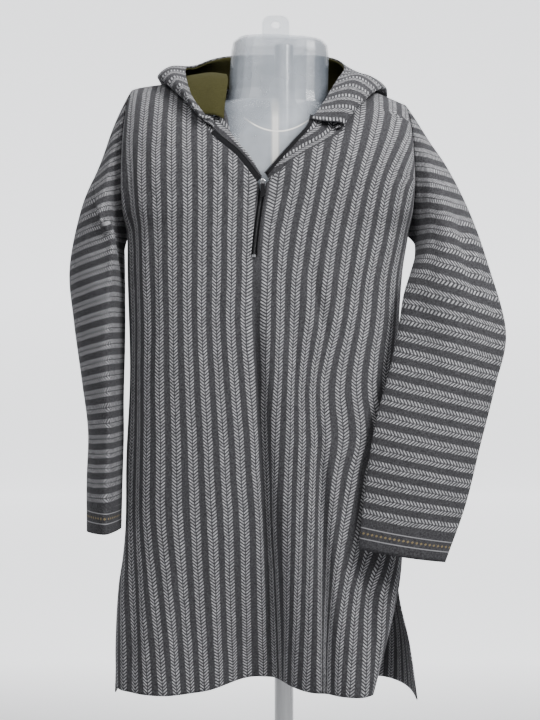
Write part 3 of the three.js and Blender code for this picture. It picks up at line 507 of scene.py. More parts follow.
def sleeve_ring(rows, s, count):
    value = {c: read(rows, "s", c, s) for c in ("ox", "oz", "ix", "iz", "y", "deep")}
    outer = Vector((value["ox"], value["y"], value["oz"]))
    inner = Vector((value["ix"], value["y"], value["iz"]))
    centre, half = (outer + inner) / 2, (outer - inner) / 2
    flat_across = half.length > value["deep"]
    ring = []
    for k in range(count):
        c, n = math.cos(k / count * math.tau), math.sin(k / count * math.tau)
        wide = c if flat_across else c * (1 - CREASE * n * n)
        deep = n * (1 - CREASE * c * c) if flat_across else n
        shift = 0 if flat_across else read(FRONT_CREASE, "s", "shift", s) * max(n, 0) ** 2
        ring.append(centre + half * wide + Vector((shift, -value["deep"] * deep, 0)))
    return ring


SLEEVE_FOLDS = {   # around is a share of the ring, from the outer edge by the front
    "right": table("s around tilt deep wide", (0.36, 0.2, 0.25, 5, 0.055), (0.5, 0.3, -0.2, 4, 0.05),
                   (0.66, 0.24, 0.1, 3.5, 0.06), (0.82, 0.2, 0.1, 2.5, 0.06), (0.45, 0.72, 0.2, 4, 0.06),
                   (0.64, 0.8, -0.2, 4, 0.06)),
    "left": table("s around tilt deep wide", (0.42, 0.16, 0.02, 5, 0.03), (0.3, 0.3, 0.3, 5, 0.05),
                  (0.62, 0.34, -0.15, 4, 0.05), (0.56, 0.1, 0.3, 4, 0.04), (0.8, 0.25, 0.1, 2.5, 0.06),
                  (0.45, 0.72, 0.2, 4, 0.06), (0.66, 0.82, -0.2, 4, 0.06)),
}


def sleeve_crease(side, s, around):
    """Troughs in a sleeve: longer along the arm than across it, fading at their ends."""
    deep = 0.0
    for row in SLEEVE_FOLDS[side]:
        along = (s - row["s"]) / 0.13
        off = (around - row["around"] - row["tilt"] * (s - row["s"])) / row["wide"]
        deep += row["deep"] * math.exp(-along * along - off * off)
    return deep


def sleeve_stripe(side, point):
    """The stripe coordinate at a point of a sleeve, from the heights of the pairs at its two edges."""
    edges = SLEEVE_EDGES[side]
    inner, outer = read(edges, "z", "inner", point.z), read(edges, "z", "outer", point.z)
    share = min(max((point.x - inner) / (outer - inner), -0.3), 1.3)
    rows = SLEEVE_PAIRS[side]
    heights = [mix(row["inner"], row["outer"], share) for row in rows]
    i = next((i for i in range(len(rows) - 2) if heights[i + 1] >= point.z), len(rows) - 2)
    t = (point.z - heights[i]) / (heights[i + 1] - heights[i])
    return mix(rows[i]["n"], rows[i + 1]["n"], t) * REPEAT


def sleeve_length(rows):
    """Length of a sleeve down its middle line, near the cuff's scale."""
    last, before = sum_middle(rows, 1.0), sum_middle(rows, 0.9)
    return (last - before).length / 0.1


def sum_middle(rows, s):
    ring = sleeve_ring(rows, s, 8)
    return sum(ring, Vector()) / 8


def sleeve_skin(side):
    rows, count = SLEEVES[side], SLEEVE_SIDES
    outward = -1 if side == "right" else 1
    shift = []
    for k, point in enumerate(sleeve_ring(rows, 0, count)):
        turn = k / count
        panel, q = ("front", 1 - 2 * turn) if turn <= 0.5 else ("back", 2 * turn - 1)
        shift.append(armhole_point(panel, side, q) + Vector((outward * SLEEVE_START, 0, 0)) - point)
    grid, marks = [], []
    length = sleeve_length(rows)
    for j in range(SLEEVE_ROWS + 1):
        s = j / SLEEVE_ROWS
        fade = 1 - ease(s, 0, 0.16)
        ring = [p + shift[k] * fade for k, p in enumerate(sleeve_ring(rows, s, count))]
        centre = sum(ring, Vector()) / count
        quiet = ease(s, 0.02, 0.12) * (1 - ease(s, 0.93, 1))
        creased = []
        for k, point in enumerate(ring):
            inward = (centre - point)
            deep = min(sleeve_crease(side, s, k / count) * quiet, inward.length * 0.3)
            creased.append(point + inward.normalized() * deep)
        run = [0.0]
        for a, b in zip(ring, ring[1:] + ring[:1]):
            run.append(run[-1] + (b - a).length)
        grid.append(creased)
        left = (1 - s) * length
        marks.append([(sleeve_stripe(side, ring[k % count]), run[k], left) for k in range(count + 1)])
    if side == "right":
        grid = [row[:1] + list(reversed(row[1:])) for row in grid]
        marks = [list(reversed(row)) for row in marks]
    return Skin().grid(grid, marks, wrap=True)


# ---------------------------------------------------------------- hood and strips
def over_shoulder(x, turn, lift):
    a = math.radians(min(max(turn, -90), 90))
    sink = max(abs(turn) - 90, 0) * 2
    deep = SHOULDER_DEEP + lift
    top = read(RIDGE, "x", "z", x) + lift - CHEST_Z
    return Vector((x, RIDGE_Y + deep * math.sin(a), CHEST_Z + top * math.cos(a) - sink))


def hood_keys(row, reach):
    neck = over_shoulder(row["nx"] + reach, row["nt"], NECK_LIFT)
    under = [over_shoulder(mix(row["nx"] + reach, row["fx"], t), mix(row["nt"], row["ft"], t), UNDER_LIFT)
             for t in UNDER_AT]
    fold = over_shoulder(row["fx"], row["ft"], row["fl"])
    crest = Vector((row["kx"], row["ky"], row["kz"]))
    rim = Vector((row["rx"], row["ry"], row["rz"]))
    outward = over_shoulder(row["fx"], row["ft"], row["fl"] + OVER_PUFF) - fold
    return [neck, *under, fold, fold.lerp(crest, 0.25) + outward, crest, rim]


def hood_rows(side, first=0.0):
    reaches = LINING_REACH[side] if first else [0] * len(HOOD[side])
    keys = [hood_keys(row, reach) for row, reach in zip(HOOD[side], reaches)]
    rails = [curve_through([rib[k] for rib in keys], HOOD_RIBS) for k in range(len(keys[0]))]
    rows = []
    for j in range(round(first * HOOD_RIBS), HOOD_RIBS + 1):
        rows.append(respace(curve_through([rail[j] for rail in rails], HOOD_FINE), HOOD_STEPS))
    return rows


def sheet_marks(rows, turned=False, at=0.5):
    """Arc length pattern coordinates of a free-form grid: along its rows, and from row to row at a share."""
    marks, up = [], 0.0
    for j, row in enumerate(rows):
        if j:
            place = round(at * (len(row) - 1))
            up += (row[place] - rows[j - 1][place]).length
        run, mark = 0.0, []
        for i, point in enumerate(row):
            if i:
                run += (point - row[i - 1]).length
            mark.append((run, up) if turned else (up, run))
        marks.append(mark)
    return marks


def hood_skin(side, first=0.0):
    rows = hood_rows(side, first)
    marks = sheet_marks(rows, at=0.85)
    if side == "left":
        rows = [list(reversed(row)) for row in rows]
        marks = [list(reversed(row)) for row in marks]
    return Skin().grid(rows, marks)


def front_surface_y(x, z):
    top = read(RIDGE, "x", "z", x)
    up = math.asin(min(max((z - CHEST_Z) / (top - CHEST_Z), 0), 1))
    return RIDGE_Y + (read(FLATS, "z", "front", z) - RIDGE_Y) * math.cos(up)


def band_skin(side):
    rows = BANDS[side]
    seam = [Vector((r["sx"], front_surface_y(r["sx"], r["sz"]) + TUCK, r["sz"])) for r in rows]
    edge = [Vector((r["ex"], r["ey"], r["ez"])) for r in rows]
    seam, edge = curve_through(seam, BAND_STEPS), curve_through(edge, BAND_STEPS)
    grid = [[a.lerp(b, t / BAND_SPLIT) for t in range(BAND_SPLIT + 1)] for a, b in zip(seam, edge)]
    marks = sheet_marks(grid, turned=True)
    if side == "left":
        grid = [list(reversed(row)) for row in grid]
        marks = [list(reversed(row)) for row in marks]
    return Skin().grid(grid, marks)


# ---------------------------------------------------------------- finishes
class Finish:
    """A material under construction: node() adds a node and links or sets its inputs."""

    def __init__(self, name):
        self.material = bpy.data.materials.new(name)
        self.material.use_nodes = True
        self.tree = self.material.node_tree
        self.surface = self.tree.nodes["Principled BSDF"]

    def node(self, kind, *inputs, out=0, **settings):
        made = self.tree.nodes.new("ShaderNode" + kind)
        for key, value in settings.items():
            setattr(made, key, value)
        for socket, value in zip(made.inputs, inputs):
            self.join(value, socket)
        return made.outputs[out]

    def join(self, value, socket):
        if isinstance(value, bpy.types.NodeSocket):
            self.tree.links.new(value, socket)
        elif value is not None:
            socket.default_value = value

    def math(self, operation, *inputs):
        return self.node("Math", *inputs, operation=operation)

    def blend(self, share, low, high):
        made = self.tree.nodes.new("ShaderNodeMix")
        made.data_type = "RGBA"
        self.join(share, made.inputs[0])
        self.join(low, made.inputs[6])
        self.join(high, made.inputs[7])
        return made.outputs[2]

    def noise(self, place, scale, detail=2.0, rough=0.5):
        made = self.tree.nodes.new("ShaderNodeTexNoise")
        self.join(place, made.inputs["Vector"])
        made.inputs["Scale"].default_value = scale
        made.inputs["Detail"].default_value = detail
        made.inputs["Roughness"].default_value = rough
        return made.outputs["Fac"]

    def range(self, value, low, high, to_low=0.0, to_high=1.0):
        return self.node("MapRange", value, low, high, to_low, to_high)

    def set(self, **values):
        for name, value in values.items():
            self.join(value, self.surface.inputs[name.replace("_", " ")])
        return self.material

    def bump(self, height, distance, strength=1.0, normal=None):
        made = self.tree.nodes.new("ShaderNodeBump")
        made.inputs["Strength"].default_value = strength
        made.inputs["Distance"].default_value = distance
        self.join(height, made.inputs["Height"])
        if normal is not None:
            self.join(normal, made.inputs["Normal"])
        return made.outputs["Normal"]


GAP_HALF, STRIPE_END = 0.75, 7.2
MARK, MARK_RISE = 5.4, 0.9      # one herringbone mark along a stripe, and how steeply it leans
GROUND = (0.046, 0.0455, 0.050, 1)
DEEP = (0.012, 0.0118, 0.0135, 1)
HIGH = (0.095, 0.094, 0.100, 1)
LIGHT = (0.60, 0.60, 0.62, 1)
CUFF_LINES = (17, 33)           # the woven lines of the cuff's border, from its edge
CUFF_PLAIN = 43
DIAMOND = 7.0                   # the cuff border's plain woven diamonds, one to each such step


def tweed(name, cuffs=False):
    """Charcoal wool twill with pairs of pale herringbone stripes, a fine nap and pepper flecks."""
    f = Finish(name)
    uv = f.node("UVMap", uv_map="stripes")
    parts = f.node("SeparateXYZ", uv)
    objects = f.node("TexCoord", out=3)
    wobble = f.math("MULTIPLY_ADD", f.noise(objects, 45.0, 2.0), 2.2, -1.1)
    across = f.math("ADD", f.math("MULTIPLY", parts, 1000.0), wobble)
    along = f.math("MULTIPLY", parts.node.outputs[1], 1000.0)
    cell = f.math("SUBTRACT", f.math("FRACT", f.math("MULTIPLY_ADD", across, 1 / REPEAT, 0.5)), 0.5)
    away = f.math("ABSOLUTE", f.math("MULTIPLY", cell, REPEAT))
    inner = f.range(away, GAP_HALF - 0.5, GAP_HALF + 0.6)
    outer = f.range(away, STRIPE_END - 0.9, STRIPE_END + 0.5, 1.0, 0.0)
    stripe = f.math("MULTIPLY", inner, outer)
    slant = f.math("MULTIPLY_ADD", away, -MARK_RISE / MARK, f.math("MULTIPLY", along, 1 / MARK))
    mark = f.math("ABSOLUTE", f.math("MULTIPLY_ADD", f.math("FRACT", slant), 2.0, -1.0))
    hatch = f.range(mark, 0.4, 0.66, 0.0, 1.0)
    grain = f.noise(objects, 400.0, 3.0, 0.75)
    flecks = f.range(grain, 0.36, 0.66)
    clouds = f.noise(objects, 16.0, 3.0, 0.6)
    worn = f.range(f.noise(objects, 170.0, 3.0, 0.7), 0.32, 0.68, 0.35, 1.0)
    share = f.math("MULTIPLY", f.math("MULTIPLY", stripe, hatch), worn)
    share = f.math("MULTIPLY", share, f.range(flecks, 0.0, 1.0, 0.6, 1.0))
    twill = f.math("FRACT", f.math("MULTIPLY", f.math("ADD", across, along), 1 / 2.1))
    twill = f.math("ABSOLUTE", f.math("MULTIPLY_ADD", twill, 2.0, -1.0))
    depth = f.math("MULTIPLY_ADD", flecks, 0.62, f.math("MULTIPLY", twill, 0.3))
    ground = f.blend(f.range(clouds, 0.3, 0.7, 0.0, 0.2), f.blend(depth, DEEP, HIGH), GROUND)
    if cuffs:
        share, ground = cuff_border(f, share, ground)
    colour = f.blend(share, ground, LIGHT)
    height = f.math("ADD", f.math("MULTIPLY", share, 0.5), f.math("MULTIPLY", twill, 0.25))
    height = f.math("ADD", height, f.math("MULTIPLY", f.noise(objects, 1300.0, 2.0, 0.6), 0.5))
    normal = f.bump(clouds, 0.006, 0.4)
    normal = f.bump(height, 0.0007, 0.8, normal)
    return f.set(Base_Color=colour, Roughness=f.range(flecks, 0.0, 1.0, 0.88, 0.98), Normal=normal,
                 Sheen_Weight=0.08, Sheen_Roughness=0.5, Sheen_Tint=(0.8, 0.8, 0.84, 1),
                 Specular_IOR_Level=0.1)


def cuff_border(f, share, ground):
    """Near the cuff: a plain border, two fine woven lines and a row of dull gold diamonds."""
    edge = f.node("SeparateXYZ", f.node("UVMap", uv_map="edge"))
    up = f.math("MULTIPLY", edge, 1000.0)
    around = f.math("MULTIPLY", edge.node.outputs[1], 1000.0)
    share = f.math("MULTIPLY", share, f.range(up, CUFF_PLAIN - 0.4, CUFF_PLAIN + 0.4))
    for line in CUFF_LINES:
        away = f.math("ABSOLUTE", f.math("SUBTRACT", up, float(line)))
        share = f.math("ADD", share, f.range(away, 0.3, 1.1, 0.45, 0.0))
    middle = f.math("ABSOLUTE", f.math("SUBTRACT", up, sum(CUFF_LINES) / 2))
    cell = f.math("SUBTRACT", f.math("FRACT", f.math("MULTIPLY", around, 1 / DIAMOND)), 0.5)
    cell = f.math("ABSOLUTE", cell)
    size = f.math("ADD", f.math("MULTIPLY", cell, DIAMOND), middle)
    gold = f.math("MULTIPLY", f.range(size, 1.9, 2.6, 1.0, 0.0), 0.55)
    return share, f.blend(gold, ground, (0.33, 0.25, 0.11, 1))


def fleece():
    """Olive fleece: short matted pile with soft clumps."""
    f = Finish("olive_fleece")
    objects = f.node("TexCoord", out=3)
    pile = f.noise(objects, 620.0, 4.0, 0.75)
    clumps = f.noise(objects, 90.0, 3.0, 0.6)
    colour = f.blend(f.range(pile, 0.3, 0.7), (0.024, 0.023, 0.0075, 1), (0.056, 0.052, 0.019, 1))
    colour = f.blend(f.range(clumps, 0.35, 0.7, 0.0, 0.5), colour, (0.037, 0.035, 0.012, 1))
    normal = f.bump(clumps, 0.002, 0.6)
    normal = f.bump(pile, 0.001, 0.9, normal)
    return f.set(Base_Color=colour, Roughness=0.97, Normal=normal, Sheen_Weight=0.05, Sheen_Roughness=0.5,
                 Sheen_Tint=(0.6, 0.6, 0.3, 1), Specular_IOR_Level=0.1)


def zip_tape():
    f = Finish("zip_tape")
    objects = f.node("TexCoord", out=3)
    place = f.node("SeparateXYZ", objects)
    ribs = f.math("SINE", f.math("MULTIPLY", place.node.outputs[2], 5200.0))
    weave = f.noise(objects, 1100.0, 2.0)
    colour = f.blend(f.range(weave, 0.3, 0.7), (0.003, 0.003, 0.0035, 1), (0.012, 0.012, 0.014, 1))
    height = f.math("MULTIPLY_ADD", ribs, 0.3, weave)
    return f.set(Base_Color=colour, Roughness=f.range(weave, 0.2, 0.8, 0.75, 0.92),
                 Normal=f.bump(height, 0.0004, 0.6), Specular_IOR_Level=0.2)


def zip_teeth():
    """Black moulded teeth with a dull shine."""
    f = Finish("zip_teeth")
    grain = f.noise(f.node("TexCoord", out=3), 900.0, 2.0)
    colour = f.blend(grain, (0.006, 0.006, 0.007, 1), (0.02, 0.02, 0.023, 1))
    return f.set(Base_Color=colour, Roughness=f.range(grain, 0.2, 0.8, 0.3, 0.5))


def thread():
    """Dark grey sewing thread."""
    f = Finish("sewing_thread")
    grain = f.noise(f.node("TexCoord", out=3), 1500.0, 2.0)
    colour = f.blend(grain, (0.012, 0.012, 0.014, 1), (0.04, 0.04, 0.045, 1))
    return f.set(Base_Color=colour, Roughness=0.8)


def metal(name, colour, rough, grain=220.0):
    f = Finish(name)
    objects = f.node("TexCoord", out=3)
    stretched = f.node("Mapping", objects, None, None, (1, 1, 0.04))
    lines = f.noise(stretched, grain, 4.0, 0.7)
    marks = f.noise(objects, 18.0, 3.0)
    dull = tuple(0.8 * c for c in colour[:3]) + (1,)
    shade = f.blend(f.range(lines, 0.3, 0.7), dull, colour)
    even = f.range(lines, 0.3, 0.7, rough - 0.06, rough + 0.06)
    roughness = f.math("ADD", even, f.range(marks, 0.4, 0.8, 0.0, 0.1))
    return f.set(Base_Color=shade, Metallic=1.0, Roughness=roughness, Normal=f.bump(lines, 0.0002, 0.3))


PAINTED_NECK_HIGHLIGHT = {"x": -11, "z": 1337, "rise": 0.0079, "thick": 2.2}     # painted highlight: a pale arc drawn where neck meets chest
PAINTED_POLE_HIGHLIGHT = {"x": -15, "half": 8, "soft": 4, "top": 1400}         # painted highlight: a light strip drawn over the pole inside the form


def frosted_plastic(name, alpha=0.42):
    """Milky moulded plastic that lets the pole show through, with painted shade darkening its sides and
    painted highlights on its front: a pale arc where neck meets chest and a light strip over the pole.
    """
    f = Finish(name)
    objects = f.node("TexCoord", out=3)
    place = f.node("SeparateXYZ", f.node("VectorMath", objects, (1000, 1000, 1000), operation="MULTIPLY"))
    x, y, z = place.node.outputs[:3]
    haze = f.noise(objects, 9.0, 3.0, 0.6)
    grain = f.noise(objects, 260.0, 3.0, 0.6)
    colour = f.blend(f.range(haze, 0.3, 0.7), (0.42, 0.46, 0.51, 1), (0.62, 0.66, 0.71, 1))
    # Painted shade: the colour darkens towards the form's sides, away from x = -22 mm.
    side = f.math("ABSOLUTE", f.math("ADD", x, 22.0))
    colour = f.blend(f.range(side, 40.0, 88.0, 0.0, 0.85), colour, (0.13, 0.15, 0.18, 1))
    # Painted highlight: a pale arc across the front where the neck meets the chest.
    off = f.math("ADD", x, -PAINTED_NECK_HIGHLIGHT["x"])
    rise = f.math("MULTIPLY", f.math("MULTIPLY", off, off), PAINTED_NECK_HIGHLIGHT["rise"])
    arc = f.math("ABSOLUTE", f.math("SUBTRACT", f.math("SUBTRACT", z, PAINTED_NECK_HIGHLIGHT["z"]), rise))
    arc = f.range(arc, PAINTED_NECK_HIGHLIGHT["thick"] * 0.3, PAINTED_NECK_HIGHLIGHT["thick"], 1.0, 0.0)
    arc = f.math("MULTIPLY", arc, f.range(f.math("ABSOLUTE", off), 38.0, 58.0, 1.0, 0.0))
    # Painted highlight: a light strip down the front over the pole, fading out at its top.
    strip = f.math("ABSOLUTE", f.math("SUBTRACT", x, PAINTED_POLE_HIGHLIGHT["x"]))
    strip = f.range(strip, PAINTED_POLE_HIGHLIGHT["half"] - PAINTED_POLE_HIGHLIGHT["soft"], PAINTED_POLE_HIGHLIGHT["half"], 1.0, 0.0)
    strip = f.math("MULTIPLY", strip, f.range(z, PAINTED_POLE_HIGHLIGHT["top"] - 40, PAINTED_POLE_HIGHLIGHT["top"], 0.8, 0.0))
    # Painted highlight: both drawn marks, on the front face only; they also make the plastic less clear there.
    painted_highlight = f.math("MULTIPLY", f.math("MAXIMUM", arc, strip), f.range(y, -20.0, 0.0, 1.0, 0.0))
    colour = f.blend(painted_highlight, colour, (0.95, 0.93, 0.88, 1))
    normal = f.bump(haze, 0.006, 0.3)
    normal = f.bump(grain, 0.0005, 0.12, normal)
    clear = f.range(haze, 0.3, 0.7, alpha - 0.05, alpha + 0.07)
    return f.set(Base_Color=colour, Roughness=f.range(grain, 0.3, 0.7, 0.16, 0.26), Normal=normal,
                 Alpha=f.math("MAXIMUM", clear, f.math("MULTIPLY", painted_highlight, 0.8)), Specular_IOR_Level=0.6)


FINISHES = {
    "tweed": tweed("tweed"),
    "tweed_sleeve": tweed("tweed_sleeve", cuffs=True),
    "fleece": fleece(),
    "tape": zip_tape(),
    "teeth": zip_teeth(),
    "thread": thread(),
    "silver": metal("zip_silver", (0.78, 0.79, 0.81, 1), 0.24),
    "steel": metal("satin_steel", (0.62, 0.63, 0.64, 1), 0.3),
    "plastic": frosted_plastic("frosted_plastic"),
    "clear": frosted_plastic("clear_lug", 0.3),
}


# ---------------------------------------------------------------- pieces
def dress(obj, slot, *nodes):
    """Rides a finished piece on the garment, in place of its plain solids."""
    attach(obj, BODY)
    if nodes:
        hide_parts(*nodes)
    return obj


def make_panels():
    front = stations_of("front", FRONT_HEM_Z, [ZIP_END_Z, ZIP_END_Z + 1.2])
    zip_end = next(i for i, s in enumerate(front) if s.level == ZIP_END_Z)
    back = stations_of("back", BACK_HEM_Z, [])
    neck = next(i for i, s in enumerate(back) if s.w > BACK_OPEN) - 1
    made = []
    for name, stations, closed in (("front", front, zip_end), ("back", back, neck)):
        skin = panel_skin(name, stations, closed)
        piece = skin.object(name + "_cloth", FINISHES["tweed"], CLOTH)
        made.append(dress(piece, "tweed", name))
    return made


def make_sleeves():
    for side in ("right", "left"):
        piece = sleeve_skin(side).object(f"sleeve_{side}_cloth", FINISHES["tweed_sleeve"], CLOTH)
        dress(piece, "tweed", f"sleeve_{side}")


def make_hood():
    inside = -((CLOTH + FLEECE) / 2 + SEAM + LINING_EASE)
    for side, first in LINING_START.items():
        outer = hood_skin(side).object(f"hood_{side}_cloth", FINISHES["tweed"], CLOTH)
        dress(outer, "tweed", f"hood_{side}")
        lining = hood_skin(side, first)
        lining = lining.object(f"hood_lining_{side}_cloth", FINISHES["fleece"], FLEECE, inside)
        dress(lining, "fleece", f"hood_lining_{side}")
        band = band_skin(side).object(f"band_{side}_cloth", FINISHES["tweed"], CLOTH)
        dress(band, "tweed", f"band_{side}")


def finish_nodes():
    """Gives the carried-over solids their materials."""
    finish = {
        "form_torso": "plastic", "form_lug": "clear", "pole": "steel", "pole_collar": "steel",
        "base_plate": "steel", "zip_stop": "silver", "zip_pull": "tape",
        "zip_tape_right": "tape", "zip_tape_left": "tape", "zip_chain": "tape",
    }
    for node, name in finish.items():
        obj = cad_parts[node]
        for entry in obj.material_slots:
            entry.material = FINISHES[name]
        if not obj.material_slots:
            obj.data.materials.append(FINISHES[name])


# ---------------------------------------------------------------- zip and stitching
ZIP_LOW, ZIP_HIGH, ZIP_STEPS = 1248, 1327, 24      # the right half of the open zip, from slider to joint
ZIP_RIBBON = {"right": (-4, 9.5, 0.9), "left": (-5, 0.8, -2.4)}     # outer edge, toothed edge, how far back
OPEN_TAPE = 0.8
TOOTH_PITCH, TOOTH, TEETH_PROUD = 2.4, (1.5, 1.0, 0.85), 0.5
CHAIN_TOOTH, CHAIN_CLOSER, CHAIN_PROUD = (1.9, 0.8, 0.75), 0.8, 0.6      # the closed zip's teeth lie closer
CHAIN_LEVELS = (ZIP_END_Z + 4, 1160, 1200, CHEST_Z - 8)
STITCH_PITCH, STITCH = 3.6, (0.32, 0.32, 1.25)
HEM_TURN, EDGE_STITCH, SLIT_TURN, CUFF_TURN = 14, 2.6, 10, 12
PROUD = CLOTH / 2 + 0.25
SLIT_STEPS, SLIT_FINE, WINDOW_STEPS, EDGE_FINE = 40, 90, 30, 200
V_STEPS, V_TOP = 20, 0.44       # the V's stitches end this share of the way up the shoulder
TACK_DROPS, TACK_AT = (2.0, 3.2), (-9, -3, 3, 9)
SLIDER = {"x": -35, "y": -129.2, "z": 1246, "half": 3.4, "foot": -4.6, "rise": 3.74, "bar": 1.15,
          "bridge": 1.2, "body": 0.9, "core": 1.4, "widen": 2.7}
SLIDER_BODY, ARCH_STEPS = (-5.4, -4.8, -3, 0, 3, 4.8, 5.4), 16


def open_zip_line(side):
    """The open zip's half on one side: along the V's cut edge, or along the left strip's edge."""
    if side == "left":
        return curve_through([Vector((r["ex"], r["ey"], r["ez"])) for r in BANDS["left"]], ZIP_STEPS)
    line = []
    for k in range(ZIP_STEPS + 1):
        z = mix(ZIP_LOW, ZIP_HIGH, k / ZIP_STEPS)
        x = read(NECK["front"], "z", "right", z)
        line.append(Vector((x, front_surface_y(x, z), z)))
    return line


def beside(line, reach, back, side):
    """A line moved toward the neck's middle by reach, and back by back."""
    out = []
    for i, point in enumerate(line):
        ahead = line[min(i + 1, len(line) - 1)] - line[max(i - 1, 0)]
        inward = Vector((ahead.z, 0, -ahead.x)).normalized() * (1 if side == "right" else -1)
        out.append(point + inward * reach + Vector((0, back, 0)))
    return out


def inset(row, reach):
    """The point a given way along a row from its start."""
    for a, b in zip(row, row[1:]):
        step = (b - a).length
        if step >= reach:
            return a.lerp(b, reach / step)
        reach -= step
    return row[-1]


def repeater(name):
    """Node group: an oval bead of a given size at every pitch along the lines, turned along them."""
    tree = bpy.data.node_groups.new(name, "GeometryNodeTree")
    sockets = {}
    for label, kind in {"Lines": "Geometry", "Pitch": "Float", "Size": "Vector", "Finish": "Material"}.items():
        socket = tree.interface.new_socket(label, in_out="INPUT", socket_type="NodeSocket" + kind)
        sockets[label] = socket.identifier
    tree.interface.new_socket("Beads", in_out="OUTPUT", socket_type="NodeSocketGeometry")
    add = tree.nodes.new
    given, result = add("NodeGroupInput"), add("NodeGroupOutput")
    curve, even = add("GeometryNodeMeshToCurve"), add("GeometryNodeResampleCurve")
    place, bead = add("GeometryNodeInstanceOnPoints"), add("GeometryNodeMeshUVSphere")
    turn, tangent = add("FunctionNodeAlignRotationToVector"), add("GeometryNodeInputTangent")
    real, paint = add("GeometryNodeRealizeInstances"), add("GeometryNodeSetMaterial")
    even.mode, turn.axis = "LENGTH", "Z"
    bead.inputs["Segments"].default_value, bead.inputs["Rings"].default_value = 7, 5
    bead.inputs["Radius"].default_value = 1.0
    for a, out, b, into in (
            (given, "Lines", curve, "Mesh"), (curve, "Curve", even, "Curve"),
            (given, "Pitch", even, "Length"), (even, "Curve", place, "Points"),
            (bead, "Mesh", place, "Instance"), (tangent, "Tangent", turn, "Vector"),
            (turn, "Rotation", place, "Rotation"), (given, "Size", place, "Scale"),
            (place, "Instances", real, "Geometry"), (real, "Geometry", paint, "Geometry"),
            (given, "Finish", paint, "Material"), (paint, "Geometry", result, "Beads")):
        tree.links.new(a.outputs[out], b.inputs[into])
    return tree, sockets


def beads(name, lines, pitch, size, finish):
    """A plain mesh object of beads along lines of points."""
    mesh, start, edges = bpy.data.meshes.new(name), 0, []
    for line in lines:
        edges += [(start + i, start + i + 1) for i in range(len(line) - 1)]
        start += len(line)
    mesh.from_pydata([point * MM for line in lines for point in line], edges, [])
    obj = bpy.data.objects.new(name, mesh)
    bpy.context.scene.collection.objects.link(obj)
    tree, sockets = repeater(name)
    modifier = obj.modifiers.new("beads", "NODES")
    modifier.node_group = tree
    modifier[sockets["Pitch"]] = pitch * MM
    modifier[sockets["Size"]] = [value * MM for value in size]
    modifier[sockets["Finish"]] = FINISHES[finish]
    settle(obj)
    obj.data.shade_smooth()
    return obj


def make_open_zip():
    for side, (outer, toothed, back) in ZIP_RIBBON.items():
        line = open_zip_line(side)
        edges = [beside(line, mix(outer, toothed, t / 4), back, side) for t in range(5)]
        grid = [list(row) for row in zip(*edges)]
        tape = Skin().grid(grid, sheet_marks(grid, turned=True))
        tape = tape.object(f"open_tape_{side}", FINISHES["tape"], OPEN_TAPE)
        dress(tape, "zip_tape")
        row = beside(line, toothed, back - TEETH_PROUD, side)
        teeth = beads(f"open_teeth_{side}", [row], TOOTH_PITCH, TOOTH, "teeth")
        dress(teeth, "zip_tape")
    chain = [Vector((read(MIDDLE, "z", "front", z), read(FLATS, "z", "front", z) - CHAIN_PROUD, z))
             for z in CHAIN_LEVELS]
    dress(beads("closed_teeth", [chain], TOOTH_PITCH * CHAIN_CLOSER, CHAIN_TOOTH, "teeth"), "zip_tape")


def panel_lines(panel, hem):
    """Stitch lines of a panel: along its hem, its slits and, on the front, its window and V."""
    proud = Vector((0, -PROUD if panel == "front" else PROUD, 0))
    lines = []
    for side in ("right", "left"):
        lines.append([p + proud for p in Station(panel, hem + HEM_TURN).half_row(side, False)[4:]])
        slit = [Station(panel, mix(hem + HEM_TURN, SLIT_Z, k / SLIT_STEPS)).half_row(side, False, SLIT_FINE)
                for k in range(SLIT_STEPS + 1)]
        lines.append([inset(row, SLIT_TURN) + proud for row in slit])
        if panel == "front":
            edge = [Station(panel, mix(ZIP_END_Z + 3, CHEST_Z, k / WINDOW_STEPS))
                    for k in range(WINDOW_STEPS + 1)]
            edge += [Station(panel, CHEST_Z, V_TOP * k / V_STEPS) for k in range(1, V_STEPS + 1)]
            rows = [station.half_row(side, True, EDGE_FINE)[::-1] for station in edge]
            lines.append([inset(row, EDGE_STITCH) + proud for row in rows])
    return lines


def cuff_lines():
    lines = []
    for side in ("right", "left"):
        rows = SLEEVES[side]
        s = 1 - CUFF_TURN / sleeve_length(rows)
        ring = sleeve_ring(rows, s, SLEEVE_SIDES)
        centre = sum(ring, Vector()) / len(ring)
        ring = [p + (p - centre).normalized() * PROUD for p in ring]
        lines.append(ring + ring[:1])
    return lines


def make_stitches():
    lines = panel_lines("front", FRONT_HEM_Z) + panel_lines("back", BACK_HEM_Z) + cuff_lines()
    middle, y = read(MIDDLE, "z", "front", ZIP_END_Z), read(FLATS, "z", "front", ZIP_END_Z) - PROUD
    for drop in TACK_DROPS:                # the bar tack below the window
        lines.append([Vector((middle + x, y, ZIP_END_Z - drop)) for x in TACK_AT])
    dress(beads("stitching", lines, STITCH_PITCH, STITCH, "thread"), "tweed")


def bar(points, radius, sides=12):
    """A closed round bar along a line of points that lies in the XZ plane."""
    skin, rows = Skin(), []
    for i, point in enumerate(points):
        ahead = (points[min(i + 1, len(points) - 1)] - points[max(i - 1, 0)]).normalized()
        side = Vector((-ahead.z, 0, ahead.x))
        ends = 0.25 if i in (0, len(points) - 1) else 1
        rows.append([point + (side * math.cos(a) + Vector((0, -1, 0)) * math.sin(a)) * radius * ends
                     for a in (k / sides * math.tau for k in range(sides))])
    marks = [[(0, 0)] * (sides + 1)] * len(rows)
    skin.grid(rows, marks, wrap=True)
    for row, turned in ((0, False), (len(rows) - 1, True)):
        loop = [row * sides + k for k in range(sides)]
        skin.faces.append(loop if turned else loop[::-1])
        skin.marks.append([(0, 0)] * sides)
    return skin


